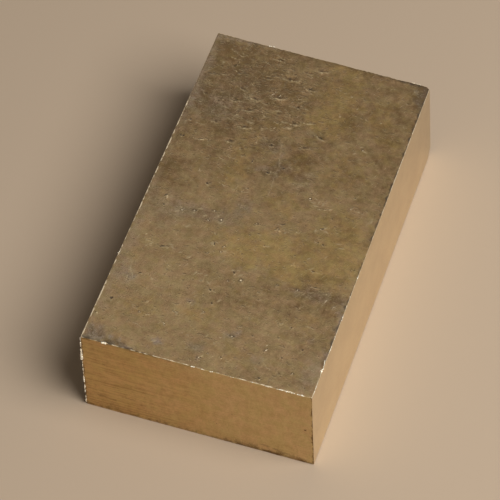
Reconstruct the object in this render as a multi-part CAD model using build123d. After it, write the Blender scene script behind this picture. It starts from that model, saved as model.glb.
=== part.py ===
from build123d import *
import os
from math import radians, tan

# A short length of thick copper alloy plate, sawn from a longer bar.
# X runs across the plate, Y along its length and Z up, in millimetres and degrees.

# Mill section: the top is the narrow face, because both sides lean outwards towards the floor
top_width = 100.0
thickness = 50.0
left_side_lean = 0.5
right_side_lean = 1.6
left_side_crown = 0.3
top_edge_radius = 0.35
bottom_edge_radius = 0.8

# Length along the middle of the top face, and how far each saw cut is out of square
cut_length = 175.0
saw_overrun = 15.0
front_cut_skew = 0.35
front_cut_lean = 0.05
back_cut_skew = -1.05
back_cut_lean = 5.5

# Rubbed edges of the cuts: the width of flat on their top edges, and on one upright that was rubbed more
cut_edge_rub = 0.3
back_right_rub = 1.2

# Knocked corners: how deep each one is cut back from its sharp point
front_left_knock = 0.5
front_right_knock = 0.25
back_left_knock = 0.35
back_right_foot_knock = 1.6

# Nicks along the top edges: distance from the edge's first corner, length and depth
left_edge_nicks = [(46.9, 3.0, 0.42), (88.0, 2.0, 0.24), (131.0, 2.4, 0.26)]
right_edge_nicks = [
    (13.2, 3.2, 0.50),
    (31.5, 2.2, 0.32),
    (47.8, 2.6, 0.36),
    (53.0, 1.8, 0.30),
    (64.3, 1.6, 0.28),
]
front_edge_nicks = [(10.8, 3.0, 0.50), (49.2, 1.6, 0.26), (73.8, 1.8, 0.28)]
back_edge_nicks = [(25.0, 2.6, 0.36), (41.0, 1.8, 0.28), (70.5, 2.2, 0.30)]


def stock_section():
    """The bar's cross-section: a flat right side, a slightly crowned left one, and worn edges."""
    half_top = top_width / 2
    left_foot = -half_top - thickness * tan(radians(left_side_lean))
    right_foot = half_top + thickness * tan(radians(right_side_lean))
    left_middle = (left_foot - half_top) / 2 - left_side_crown
    left_side = ThreePointArc((left_foot, 0), (left_middle, thickness / 2), (-half_top, thickness))
    flats = Polyline((-half_top, thickness), (half_top, thickness), (right_foot, 0), (left_foot, 0))
    section = make_face(left_side + flats)
    section = fillet(section.vertices().group_by(Axis.Y)[-1], top_edge_radius)
    return fillet(section.vertices().group_by(Axis.Y)[0], bottom_edge_radius)


def long_bar():
    """The section drawn out along Y, past both saw cuts."""
    return extrude(Plane.XZ * stock_section(), amount=cut_length / 2 + saw_overrun, both=True)


def end_plane(side, skew, lean):
    """The plane of a saw cut, facing out of the plate: side is -1 at the front and 1 at the back."""
    middle = (0, side * cut_length / 2, thickness)
    outwards = Vector(-side * tan(radians(skew)), side, side * tan(radians(lean)))
    return Plane(origin=middle, z_dir=outwards)


front_cut = end_plane(-1, front_cut_skew, front_cut_lean)
back_cut = end_plane(1, back_cut_skew, back_cut_lean)


def saw_both_ends(bar):
    """Keeps what lies between the two saw cuts."""
    for cut in (front_cut, back_cut):
        bar = split(bar, bisect_by=cut, keep=Keep.BOTTOM)
    return bar


def on_cut(x, z, cut):
    """The point of a saw cut's plane that lies at a place across the plate and at a height."""
    middle = cut.origin
    outwards = cut.z_dir
    y = middle.Y - ((x - middle.X) * outwards.X + (z - middle.Z) * outwards.Z) / outwards.Y
    return Vector(x, y, z)


def top_corner(side, cut):
    """The sharp point where a side, -1 left or 1 right, meets a saw cut and the top face."""
    return on_cut(side * top_width / 2, thickness, cut)


def right_foot_corner(cut):
    """The sharp point where the right side meets a saw cut and the underside."""
    return on_cut(top_width / 2 + thickness * tan(radians(right_side_lean)), 0, cut)


def flatten(block, sharp_point, outwards, depth):
    """Takes off what stands more than a depth below a sharp point, square to a direction."""
    facing = outwards.normalized()
    return split(block, bisect_by=Plane(origin=sharp_point - facing * depth, z_dir=facing), keep=Keep.BOTTOM)


def rub_cut_edges(block):
    """Takes the sharpness off the top edge of each saw cut, and off the back cut's right upright."""
    right_side_facing = Vector(1, 0, tan(radians(right_side_lean))).normalized()
    for cut in (front_cut, back_cut):
        block = flatten(block, cut.origin, cut.z_dir + Vector(0, 0, 1), cut_edge_rub / 2)
    return flatten(block, top_corner(1, back_cut), back_cut.z_dir + right_side_facing, back_right_rub / 2)


def knock_corner(block, side, cut, depth):
    """Flattens a top corner that was dropped or struck."""
    return flatten(block, top_corner(side, cut), Vector(side, 0, 1) + cut.z_dir, depth)


def knock_corners(block):
    """Flattens three sharp corners of the top face, and the one that the plate was stood down on."""
    block = knock_corner(block, -1, front_cut, front_left_knock)
    block = knock_corner(block, 1, front_cut, front_right_knock)
    block = knock_corner(block, -1, back_cut, back_left_knock)
    foot = right_foot_corner(back_cut)
    return flatten(block, foot, Vector(1, 0, -1) + back_cut.z_dir, back_right_foot_knock)


def nick_cutter(start, end, inwards, nick):
    """A short cylinder laid across a top edge, which scoops a nick out of it."""
    place, length, depth = nick
    along = (end - start).normalized()
    down_into = (inwards + Vector(0, 0, -1)).normalized()
    radius = (length**2 / 4 + depth**2) / (2 * depth)
    centre = start + along * place - down_into * (radius - depth)
    across = down_into.cross(along)
    return Plane(origin=centre, z_dir=across) * Cylinder(radius, 6 * depth)


def nick_edges(block):
    """Cuts the nicks into all four edges of the top face."""
    front_left = top_corner(-1, front_cut)
    front_right = top_corner(1, front_cut)
    back_left = top_corner(-1, back_cut)
    back_right = top_corner(1, back_cut)
    edges = [
        (front_left, back_left, Vector(1, 0, 0), left_edge_nicks),
        (front_right, back_right, Vector(-1, 0, 0), right_edge_nicks),
        (front_left, front_right, Vector(0, 1, 0), front_edge_nicks),
        (back_left, back_right, Vector(0, -1, 0), back_edge_nicks),
    ]
    for start, end, inwards, nicks in edges:
        for nick in nicks:
            block -= nick_cutter(start, end, inwards, nick)
    return block


def set_on_origin(block):
    """Puts the middle of the footprint's box at X and Y zero, and the underside at Z zero."""
    box = block.bounding_box()
    return Pos(-box.center().X, -box.center().Y, -box.min.Z) * block


def cut_plate():
    """The whole piece: sawn, knocked about and set on its origin."""
    block = knock_corners(rub_cut_edges(saw_both_ends(long_bar())))
    return set_on_origin(nick_edges(block))


os.makedirs("parts", exist_ok=True)
plate = cut_plate()
export_step(plate, "parts/cut_plate.step")
print("plate", plate.bounding_box(), "volume in cubic cm", round(plate.volume / 1000, 2))
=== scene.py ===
import math

import bpy
import numpy as np
from mathutils import Matrix, Vector, geometry
from mathutils.bvhtree import BVHTree


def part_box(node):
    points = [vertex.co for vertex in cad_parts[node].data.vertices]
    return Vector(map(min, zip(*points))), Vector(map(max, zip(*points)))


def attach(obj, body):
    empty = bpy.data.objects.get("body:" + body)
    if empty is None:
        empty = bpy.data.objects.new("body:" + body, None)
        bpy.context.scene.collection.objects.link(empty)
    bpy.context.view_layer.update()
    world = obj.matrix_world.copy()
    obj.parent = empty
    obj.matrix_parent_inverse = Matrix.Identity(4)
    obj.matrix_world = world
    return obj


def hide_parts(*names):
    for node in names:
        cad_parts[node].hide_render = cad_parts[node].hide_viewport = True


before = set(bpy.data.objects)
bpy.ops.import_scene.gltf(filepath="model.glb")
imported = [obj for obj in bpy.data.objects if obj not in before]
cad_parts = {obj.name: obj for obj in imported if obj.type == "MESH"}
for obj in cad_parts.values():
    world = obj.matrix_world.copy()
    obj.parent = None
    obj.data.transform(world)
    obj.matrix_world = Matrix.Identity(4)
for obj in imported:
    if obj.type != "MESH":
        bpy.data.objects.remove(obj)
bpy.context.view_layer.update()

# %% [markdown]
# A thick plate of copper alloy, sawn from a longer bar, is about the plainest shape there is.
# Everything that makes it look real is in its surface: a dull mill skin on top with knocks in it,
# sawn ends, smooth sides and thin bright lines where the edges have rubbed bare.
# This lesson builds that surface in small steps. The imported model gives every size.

MM = 0.001
NODE = "cut_plate"
cad_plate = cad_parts[NODE]
low, high = (np.array(corner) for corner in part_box(NODE))
print("the plate's box in mm:", (low / MM).round(2), "to", (high / MM).round(2))

# %% [markdown]
# The camera comes first, because every later choice is judged through it.
# It looks down steeply from the front right, from over a metre away through a long lens,
# so the plate's edges run almost parallel. It is placed by the point it looks at, three angles
# and a distance, which are easier to reason about than a position and a rotation.

# %% The camera
aim = Vector((-4.132, -8.683, 25.0)) * MM
azimuth, elevation, roll = math.radians(19.170), math.radians(53.079), math.radians(-0.953)
distance = 1.0987
picture_width, focal_pixels = 500, 2528.0

camera = bpy.data.objects.new("camera", bpy.data.cameras.new("camera"))
bpy.context.scene.collection.objects.link(camera)
camera.data.sensor_width = 36.0
camera.data.lens = camera.data.sensor_width * focal_pixels / picture_width
camera.data.clip_start, camera.data.clip_end = 0.05, 20.0
turned = Matrix.Rotation(azimuth, 4, "Z") @ Matrix.Rotation(math.pi / 2 - elevation, 4, "X")
turned = turned @ Matrix.Rotation(roll, 4, "Z")
away = turned.to_3x3() @ Vector((0, 0, 1))
camera.matrix_world = Matrix.Translation(aim + away * distance) @ turned
bpy.context.scene.camera = camera
print("camera at", [round(v, 4) for v in camera.matrix_world.translation])
print("lens of", round(camera.data.lens, 1), "mm")

# %% [markdown]
# Node trees are easier to read as sums than as boxes and links. One small class wraps an
# output socket, so that `1 - mask` or `height * 0.5` adds the Math nodes it needs.

# %% A socket that can be used in sums
class Wire:
    """An output socket of a node tree, which can be added, multiplied and raised."""

    def __init__(self, bench, socket):
        self.bench, self.socket = bench, socket

    def maths(self, operation, first, second):
        return self.bench.node("ShaderNodeMath", {"operation": operation}, {0: first, 1: second})

    def __add__(self, other):
        return self.maths("ADD", self, other)

    def __radd__(self, other):
        return self.maths("ADD", other, self)

    def __sub__(self, other):
        return self.maths("SUBTRACT", self, other)

    def __rsub__(self, other):
        return self.maths("SUBTRACT", other, self)

    def __mul__(self, other):
        return self.maths("MULTIPLY", self, other)

    def __rmul__(self, other):
        return self.maths("MULTIPLY", other, self)

    def __pow__(self, other):
        return self.maths("POWER", self, other)

    def most(self, other):
        return self.maths("MAXIMUM", self, other)

    def step_between(self, start, end):
        """0 below the start, 1 above the end and a smooth rise between them."""
        settings = {"interpolation_type": "SMOOTHSTEP"}
        return self.bench.node("ShaderNodeMapRange", settings, {0: self, 1: start, 2: end})


# %% [markdown]
# Everything else, from a noise texture to a shader, comes from one method that sets a node up
# and joins its sockets. It serves shader trees and Geometry Nodes trees alike.

# %% A node tree that nodes are added to
class Bench:
    """A node tree that nodes are added to."""

    def __init__(self, tree):
        self.tree = tree

    def node(self, kind, settings=None, sockets=None, out=0):
        """Adds a node, sets it up, joins its sockets and returns one of its outputs."""
        made = self.tree.nodes.new(kind)
        for name, value in (settings or {}).items():
            setattr(made, name, value)
        for key, value in (sockets or {}).items():
            if isinstance(value, Wire):
                self.tree.links.new(value.socket, made.inputs[key])
            else:
                made.inputs[key].default_value = value
        return Wire(self, made.outputs[out]) if made.outputs else made

    def outputs_of(self, wire):
        """All the outputs of the node that a wire comes from, by name."""
        return {socket.name: Wire(self, socket) for socket in wire.socket.node.outputs}

    def mix(self, factor, first, second):
        """Mixes two colours."""
        return self.node("ShaderNodeMix", {"data_type": "RGBA"}, {0: factor, 6: first, 7: second}, out=2)

    def tinted(self, colour, factor, tint):
        """Multiplies a colour by a tint, as far as the factor says."""
        settings = {"data_type": "RGBA", "blend_type": "MULTIPLY"}
        return self.node("ShaderNodeMix", settings, {0: factor, 6: colour, 7: tint}, out=2)

    def noise(self, where, scale, detail=2.0, roughness=0.5):
        """Soft noise between 0 and 1, with a scale in lumps per unit of the coordinates."""
        return self.node("ShaderNodeTexNoise", {}, {
            "Vector": where, "Scale": scale, "Detail": detail, "Roughness": roughness,
        })


# %% [markdown]
# Shaders count light, while the numbers that are read off a picture count brightness as an eye
# sees it. One helper turns the second into the first, so that colours can be given as they look.

# %% Colours as they are read off a picture
def srgb(red, green, blue):
    """A colour read off a picture, 0 to 255, turned into the linear one that shaders take."""
    def linear(value):
        value = value / 255
        return value / 12.92 if value <= 0.04045 else ((value + 0.055) / 1.055) ** 2.4
    return (linear(red), linear(green), linear(blue), 1.0)


# %% [markdown]
# The floor is a plain pale sheet. The smooth side of the plate mirrors it, so its warm tint is
# part of how the metal looks.

# %% The floor
FLOOR_COLOUR = srgb(206, 183, 157)
FLOOR_REACH = 3.0
floor_corners = [(x * FLOOR_REACH, y * FLOOR_REACH, 0) for x, y in ((-1, -1), (1, -1), (1, 1), (-1, 1))]
floor_mesh = bpy.data.meshes.new("floor")
floor_mesh.from_pydata(floor_corners, [], [(0, 1, 2, 3)])
floor = bpy.data.objects.new("floor", floor_mesh)
bpy.context.scene.collection.objects.link(floor)
floor_material = bpy.data.materials.new("pale_floor")
floor_material.use_nodes = True
floor_shader = floor_material.node_tree.nodes["Principled BSDF"]
floor_shader.inputs["Base Color"].default_value = FLOOR_COLOUR
floor_shader.inputs["Roughness"].default_value = 0.9
floor_shader.inputs["Specular IOR Level"].default_value = 0.2
floor_mesh.materials.append(floor_material)
print("the floor is", 2 * FLOOR_REACH, "m wide")

# %% [markdown]
# One large soft lamp stands high on the right and a little to the front. Its size sets how soft
# the shadow on the left is: a small lamp would draw a hard line there.

# %% The lamp
lamp_height_angle, lamp_front_angle = math.radians(55), math.radians(18)
lamp_distance, lamp_size, lamp_power = 1.6, 1.15, 22.0
towards_lamp = Vector((
    math.cos(lamp_height_angle) * math.cos(lamp_front_angle),
    -math.cos(lamp_height_angle) * math.sin(lamp_front_angle),
    math.sin(lamp_height_angle),
))
lamp = bpy.data.objects.new("soft_lamp", bpy.data.lights.new("soft_lamp", "AREA"))
bpy.context.scene.collection.objects.link(lamp)
lamp.data.shape, lamp.data.size = "DISK", lamp_size
lamp.data.energy = lamp_power
lamp.location = towards_lamp * lamp_distance
lamp.rotation_euler = towards_lamp.to_track_quat("Z", "Y").to_euler()
print("lamp at", [round(v, 2) for v in lamp.location])

# %% [markdown]
# The world gives a low fill, but shows itself pale to the camera and to reflections, or polished
# metal would reflect a dark room. Light that has already left a dull surface meets only the low
# fill, or the metal would light up the shadow beside it.

# %% The world
FILL, SHOWN = 0.10, 0.70
WORLD_COLOUR = (1.0, 0.96, 0.9, 1.0)
world = bpy.data.worlds.new("studio")
bpy.context.scene.world = world
world.use_nodes = True
sky = Bench(world.node_tree)
seen = sky.outputs_of(sky.node("ShaderNodeLightPath"))
shows = seen["Is Camera Ray"].most(seen["Is Glossy Ray"]).most(seen["Is Transmission Ray"])
shows = shows * (1 - seen["Diffuse Depth"].step_between(0.4, 0.6))
background = world.node_tree.nodes["Background"]
background.inputs["Color"].default_value = WORLD_COLOUR
world.node_tree.links.new((FILL + shows * (SHOWN - FILL)).socket, background.inputs["Strength"])
bpy.context.scene.view_settings.view_transform = "Standard"
print("the world lights by", FILL, "and shows itself at", SHOWN)

# %% [markdown]
# The plate is nearly a box, but both saw cuts are out of square and the long sides lean. The
# packed triangles know all that. Six planes are read from them, one for each side, and three
# planes at a time meet in the eight corners that the new surface is stretched between.

# %% Six planes and eight corners
cad_places = np.array([v.co for v in cad_plate.data.vertices])
cad_normals = np.array([p.normal for p in cad_plate.data.polygons])
cad_areas = np.array([p.area for p in cad_plate.data.polygons])
cad_triangles = np.array([p.vertices for p in cad_plate.data.polygons])


def side_plane(facing):
    """The normal and offset of the plane of the large triangles that face one way."""
    chosen = cad_normals @ np.array(facing, float) > 0.99
    chosen &= cad_areas > 0.02 * cad_areas[chosen].max()
    normal = (cad_normals[chosen] * cad_areas[chosen, None]).sum(0)
    normal /= np.linalg.norm(normal)
    places = cad_places[cad_triangles[chosen].ravel()]
    return normal, normal @ places[places[:, 2].argmax()]


FACINGS = {
    "left": (-1, 0, 0), "right": (1, 0, 0), "front": (0, -1, 0),
    "back": (0, 1, 0), "bottom": (0, 0, -1), "top": (0, 0, 1),
}
PLANES = {name: side_plane(facing) for name, facing in FACINGS.items()}


def meeting_point(*names):
    """The point where three sides meet."""
    normals, offsets = zip(*(PLANES[name] for name in names))
    return np.linalg.solve(np.array(normals), np.array(offsets))


CORNERS = {
    (x, y, z): meeting_point(x, y, z)
    for x in ("left", "right") for y in ("front", "back") for z in ("bottom", "top")
}
for name, place in CORNERS.items():
    print(name, (place / MM).round(2))

# %% [markdown]
# Knocks, stains and worn places are put on the plate one by one further down. Across the plate they
# are counted from its middle. Its ends are cut askew, so along it there is no one middle to
# count from. One line takes its place, a fixed distance behind the top's front edge.

# %% The line that places along the plate are counted from
# How far behind the top's front edge it lies
ZERO_LINE = 88.22 * MM
zero_y = float((CORNERS["left", "front", "top"] + CORNERS["right", "front", "top"])[1] / 2) + ZERO_LINE
print("places along the plate are counted from y =", round(zero_y / MM, 2), "mm")

# %% [markdown]
# The top face carries hundreds of small knocks: pits, dashes, scoops and short scratches. The
# ones that stand out are listed one by one, in eight kinds. A kind gives the size, the depth, how
# dark the knock is painted, for dirt and for its shade, and how much bare metal with a painted
# glint shows at its bottom. Two kinds have a depth below zero: they are thin welts of metal that a
# sliding corner pushed up, and they are painted lighter, as a highlight.

# %% Knocks that are listed one by one
# Length, width and depth in mm, then how dark a knock is painted, for dirt and shade, and how
# bare it is with a painted glint, from 0 to 1
KNOCK_KINDS = {
    "dark pit": {"long": 1.3, "wide": 1.1, "deep": 0.20, "dark": 1.0, "bared_and_glint": 0.0},
    "bright pit": {"long": 1.7, "wide": 1.35, "deep": 0.22, "dark": 0.6, "bared_and_glint": 0.58},
    "bright dash": {"long": 3.0, "wide": 1.0, "deep": 0.18, "dark": 0.5, "bared_and_glint": 0.64},
    "dark dash": {"long": 4.0, "wide": 1.0, "deep": 0.16, "dark": 1.0, "bared_and_glint": 0.0},
    "scratch": {"long": 5.5, "wide": 0.55, "deep": 0.07, "dark": 0.0, "bared_and_glint": 0.65},
    "hairline": {"long": 4.6, "wide": 0.80, "deep": -0.02, "dark": 0.0, "bared_and_glint": 0.42},
    "light arc": {"long": 2.8, "wide": 0.95, "deep": -0.06, "dark": 0.0, "bared_and_glint": 0.75},
    "scoop": {"long": 6.6, "wide": 2.8, "deep": 0.46, "dark": 0.7, "bared_and_glint": 0.15},
}
# Across and along the top in mm, then the size against its kind's and a turn in degrees
KNOCK_PLACES = {
    "dark pit": [
        (-7.2, 32.8, 2.0, 0), (-3.8, 18.0, 1.8, 0), (2.0, 22.0, 1.2, 20), (36.0, 15.7, 1.0, 0),
        (-12.5, 21.5, 1.1, 30), (-30.5, 19.0, 1.1, -30), (-27.0, 4.3, 1.3, 0), (-9.5, 6.8, 1.3, 0),
        (7.2, -20.3, 1.0, 0), (-0.5, -37.5, 1.4, 0), (-13.5, -25.8, 1.4, 0), (-41.7, -7.7, 1.1, 40),
        (-40.8, -12.2, 1.0, 0), (-23.7, -40.7, 0.9, 0), (-21.8, -40.2, 0.7, 0), (-28.5, -50.0, 0.8, 0),
        (-18.8, -55.3, 0.9, 0), (-17.2, -55.0, 0.7, 0), (-13.5, -57.6, 1.2, 0), (-32.0, -60.3, 0.7, 0),
        (-45.2, -65.5, 1.4, 30), (-49.0, -74.5, 1.3, 60), (-12.2, -45.5, 1.0, 45), (-7.5, -48.8, 1.2, 0),
        (-4.5, -55.5, 1.2, 0), (17.0, -66.0, 0.9, 0), (27.5, -63.8, 0.8, 0), (31.8, -72.8, 1.1, 0),
        (38.5, -66.5, 1.2, 0), (31.0, -57.0, 1.1, 20), (26.0, -85.0, 1.1, 0), (8.0, -80.0, 1.2, 0),
    ],
    "bright pit": [
        (-27.2, -11.5, 1.1, 0), (-32.3, -13.0, 0.9, 0), (-20.2, -14.8, 0.8, 0), (-14.8, -13.0, 1.1, 60),
        (-19.2, -9.2, 0.9, 0), (-15.2, -9.0, 0.6, 0), (0.6, -10.3, 1.0, 0), (9.5, -10.3, 0.9, 0),
        (27.3, -4.5, 0.9, 0), (-0.5, -17.0, 0.6, 0), (18.8, -38.3, 0.9, 0), (27.5, -38.1, 0.9, 0),
        (3.5, -40.8, 1.2, 50), (-1.7, -42.5, 0.8, 0), (-9.0, -26.2, 0.7, 0), (-14.7, -31.2, 0.8, 0),
        (-9.2, -29.3, 0.7, 30), (9.0, -69.0, 1.2, 0), (31.7, 42.0, 0.9, 0), (18.0, 9.5, 0.9, 0),
        (38.3, -79.2, 0.6, 0), (-0.5, -83.2, 0.9, 20), (2.5, -80.0, 0.8, 0), (-31.5, -69.0, 0.7, 0),
    ],
    "bright dash": [
        (-42.3, -53.0, 0.8, -35), (44.5, -42.0, 0.9, 60), (36.2, 9.5, 0.9, 70), (-17.0, -64.5, 1.1, -25),
        (24.5, -71.0, 0.8, 55), (-6.5, -60.5, 0.8, -45), (-20.0, -71.5, 0.9, -40),
    ],
    "dark dash": [
        (-33.6, -33.6, 1.2, 12), (-38.0, -50.0, 0.8, 5), (11.0, -7.0, 0.9, 20), (-41.5, -7.5, 0.8, 40),
    ],
    "scratch": [
        (40.7, -40.0, 1.0, 68), (-9.0, 42.0, 1.0, 52), (-40.8, -8.5, 1.2, 57), (24.0, -69.0, 0.8, 60),
        (-15.0, 61.5, 1.3, 62), (-12.5, 60.5, 1.1, 66),
    ],
    "hairline": [
        (-2.7, 33.5, 1.0, -79), (-1.9, 29.5, 1.0, -79), (-1.3, 26.0, 0.8, -79), (-0.45, 23.0, 1.0, -88),
        (-0.3, 19.0, 1.0, -88), (-0.15, 15.0, 1.0, -88), (0.0, 11.0, 1.0, -88), (0.15, 7.0, 0.9, -88),
        (-42.2, -9.3, 0.9, 57), (-40.5, -6.4, 0.8, 57), (46.2, 6.7, 0.9, 68), (45.2, 4.0, 0.7, 72),
        (29.1, -39.6, 0.9, 66), (30.2, -39.6, 0.8, 66), (40.3, -40.3, 1.1, 66), (39.6, -42.6, 0.7, 66),
    ],
    "light arc": [
        (-34.2, -14.3, 1.0, 25), (-33.0, -12.0, 0.8, -30), (-25.2, -10.2, 1.0, 10),
        (-22.0, -13.1, 0.8, -20), (-16.6, -11.2, 1.0, 60), (-15.0, -14.6, 0.8, 10),
        (-27.1, -20.5, 1.0, 20), (-30.7, -32.0, 1.0, 5), (-29.3, -33.2, 0.9, -25),
        (-14.0, -25.8, 1.0, 15), (-12.5, -25.0, 0.8, -25), (-8.0, -28.0, 1.0, 35),
        (-25.7, -34.6, 0.8, 20), (-16.1, -43.0, 1.0, 60), (-14.2, -42.4, 0.8, 15),
        (-12.5, -45.7, 0.8, 45), (-9.2, -46.2, 1.0, -40), (-1.4, -36.8, 1.0, 10), (0.9, -36.2, 0.8, -12),
        (2.4, -38.4, 0.9, 55), (-1.9, -53.6, 1.0, 50), (30.4, 43.4, 0.8, 20), (32.6, 41.2, 0.9, -15),
        (19.5, 8.2, 0.9, 20), (20.4, 10.2, 0.8, -20), (21.8, 6.6, 0.8, 10), (28.5, -4.0, 1.0, 15),
        (29.9, -5.6, 0.9, -15), (25.2, -6.2, 0.8, 35), (38.5, -12.0, 1.0, 15), (36.4, -10.2, 0.8, 0),
        (8.3, -20.6, 0.9, 10), (-3.0, 44.0, 1.3, 8), (-6.0, 46.5, 1.0, -20), (5.0, 49.0, 1.2, 20),
        (-20.0, 42.0, 1.3, -5), (-27.0, 44.0, 1.0, 10), (-33.0, 47.0, 1.1, -15), (-10.0, 52.0, 1.2, 12),
        (-17.0, 54.0, 1.0, -10), (-40.5, -35.5, 0.8, 63), (-38.8, -33.6, 0.8, 54),
        (-21.4, -35.9, 0.9, 45), (-42.6, -49.4, 1.3, 107), (-41.0, -51.6, 1.1, 107),
        (-11.4, -42.6, 0.8, 45), (-30.1, -63.1, 0.8, 63), (-18.1, -64.3, 0.9, 84),
        (-16.4, -64.8, 0.8, 72), (-6.2, -61.3, 0.8, 54), (-8.5, -74.1, 0.8, -27), (-1.3, -71.8, 0.8, 54),
        (0.3, -81.8, 0.8, 50), (-20.8, -80.8, 1.0, 40), (24.2, 8.3, 0.9, 72), (22.2, 8.5, 0.8, 72),
        (44.7, -42.1, 0.9, 62), (33.1, -37.8, 0.7, 20), (46.4, 5.4, 1.0, 82), (28.8, 39.1, 0.8, 54),
        (27.1, -21.3, 0.8, 54), (29.5, -26.1, 0.8, 41),
    ],
    "scoop": [
        (-2.0, 48.0, 1.0, 4), (-22.0, 39.5, 1.0, 3), (-25.2, 29.7, 0.7, -4), (-34.5, 38.2, 0.55, -12),
        (-22.5, 56.0, 0.75, -8), (-29.5, 60.0, 0.7, -15), (1.0, 80.5, 0.9, 8), (-23.0, 49.0, 0.85, 5),
        (-14.5, 48.0, 0.5, 0), (-2.5, 57.0, 0.7, 5), (-0.5, 68.8, 0.9, -6), (-11.0, 72.0, 1.2, 5),
        (-13.0, 60.0, 1.1, 8), (-20.5, 69.0, 0.7, 8), (-19.0, 81.0, 0.8, 0), (-43.0, 58.0, 0.5, 0),
        (-36.5, 51.5, 0.5, 0), (-30.5, 52.5, 0.7, 0), (-37.0, 72.0, 0.7, 70), (-34.5, 84.0, 0.5, 60),
        (-25.0, 75.0, 0.5, 40), (12.0, 43.5, 0.8, -20), (7.0, 36.0, 0.7, 10), (-38.0, 27.0, 0.6, 20),
    ],
}
KNOCK_VALUES = ("long", "wide", "turn", "deep", "dark", "bared_and_glint")


def placed_knock(kind, x, y, size, turn):
    """One knock, in metres and radians: a larger one of its kind is also a little deeper."""
    return {
        "place": (x * MM, y * MM + zero_y), "turn": math.radians(turn),
        "long": kind["long"] * size * MM, "wide": kind["wide"] * size * MM,
        "deep": kind["deep"] * size**0.5 * MM, "dark": kind["dark"], "bared_and_glint": kind["bared_and_glint"],
    }


placed_knocks = [
    placed_knock(KNOCK_KINDS[name], *place) for name, places in KNOCK_PLACES.items() for place in places
]
print(len(placed_knocks), "knocks placed by hand")

# %% [markdown]
# Geometry Nodes suit whatever repeats: a tree takes a few sizes and a seed, and makes the rest. A
# few helpers come first, because a second tree uses them later. They make a tree with its inputs,
# draw a random number for each point, store a value on points, and end a tree properly.

# %% Helpers for the node trees
def new_geometry_tree(name, floats):
    """A Geometry Nodes tree with its inputs, and the identifiers of those inputs."""
    tree = bpy.data.node_groups.new(name, "GeometryNodeTree")
    kinds = {"Geometry": "NodeSocketGeometry", "Seed": "NodeSocketInt", "Material": "NodeSocketMaterial"}
    kinds.update({float_name: "NodeSocketFloat" for float_name in floats})
    identifiers = {
        socket_name: tree.interface.new_socket(socket_name, in_out="INPUT", socket_type=kind).identifier
        for socket_name, kind in kinds.items()
    }
    tree.interface.new_socket("Geometry", in_out="OUTPUT", socket_type="NodeSocketGeometry")
    bench = Bench(tree)
    return bench, bench.outputs_of(bench.node("NodeGroupInput")), identifiers


def draw(bench, given, smallest, largest, seed, power=1.0):
    """A random number for each point, with more small ones as the power rises."""
    own_seed = {"Seed": given["Seed"] + seed}
    chance = bench.node("FunctionNodeRandomValue", {"data_type": "FLOAT"}, own_seed, out=1)
    return smallest + (largest - smallest) * chance**power


def keep(bench, points, name, value, data_type="FLOAT"):
    """Stores a value on every point under a name."""
    settings = {"data_type": data_type, "domain": "POINT"}
    return bench.node("GeometryNodeStoreNamedAttribute", settings, {
        "Geometry": points, "Name": name, "Value": value,
    })


def kept(bench, name):
    """Reads such a value back."""
    return bench.node("GeometryNodeInputNamedAttribute", {"data_type": "FLOAT"}, {"Name": name})


def finish_tree(bench, given, instances):
    """Makes the instances real, gives them their material and ends the tree."""
    real = bench.node("GeometryNodeRealizeInstances", {}, {"Geometry": instances})
    dressed = bench.node("GeometryNodeSetMaterial", {}, {"Geometry": real, "Material": given["Material"]})
    bench.node("NodeGroupOutput", {}, {"Geometry": dressed})


def starting_piece(name, places, edges, values):
    """An object that holds points, edges between them and named values, for a tree to start from."""
    mesh = bpy.data.meshes.new(name)
    mesh.from_pydata(places, edges, [])
    for value_name, numbers in values.items():
        mesh.attributes.new(value_name, "FLOAT", "POINT").data.foreach_set("value", numbers)
    piece = bpy.data.objects.new(name, mesh)
    bpy.context.scene.collection.objects.link(piece)
    return piece


def evaluated_mesh(piece, tree, identifiers, values):
    """Runs a node tree on a piece, removes the piece and returns the result as a plain mesh."""
    modifier = piece.modifiers.new(tree.name, "NODES")
    modifier.node_group = tree
    for name, value in values.items():
        modifier[identifiers[name]] = value
    bpy.context.view_layer.update()
    mesh = bpy.data.meshes.new_from_object(piece.evaluated_get(bpy.context.evaluated_depsgraph_get()))
    piece.modifiers.remove(modifier)
    bpy.data.objects.remove(piece)
    return mesh


def read_values(mesh, name, width=1):
    """A named attribute of a mesh as an array."""
    values = np.zeros(len(mesh.attributes[name].data) * width, np.float32)
    mesh.attributes[name].data.foreach_get("vector" if width == 3 else "value", values)
    return values.reshape(-1, width).astype(float) if width > 1 else values.astype(float)


# %% [markdown]
# The tree scatters the smaller knocks, thickest towards the back left, where the metal was
# handled most, and sets a square patch of points on every knock. The patches are not shown:
# their points tell a later step where the surface has to be fine enough to carry a dent.
# Each point keeps its knock's own length, turn and depth, so the dents can be cut from them.

# %% Scattering the knocks
top_z = float(high[2])
# No small knock lies closer to the box's outline than this
KNOCK_FREE_RIM = 3 * MM
# A knock's patch is a square of so many points a side, and is larger than the knock by a factor
PATCH_SIDE = 13
PATCH = PATCH_SIDE**2
PATCH_REACH = 1.5
# The crowd of knocks: its middle across and along, where it starts to thin out and where it ends
CROWD_MIDDLE = (-22 * MM, 60 * MM)
CROWD_CORE, CROWD_END = 20 * MM, 56 * MM
# The sheet that they fall on needs this many columns and rows to follow the crowd
SHEET_COLUMNS, SHEET_ROWS = 41, 71
# Smallest and largest value of each random knock, and a power: the higher, the more small ones
KNOCK_SPREADS = {
    "long": (1.2 * MM, 4.8 * MM, 1.8), "wide": (0.8 * MM, 1.7 * MM, 1.5), "turn": (-0.6, 0.35, 1.0),
    "deep": (0.09 * MM, 0.34 * MM, 1.3), "dark": (0.1, 0.75, 1.4), "bared_and_glint": (0.0, 0.5, 5.0),
}


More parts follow.
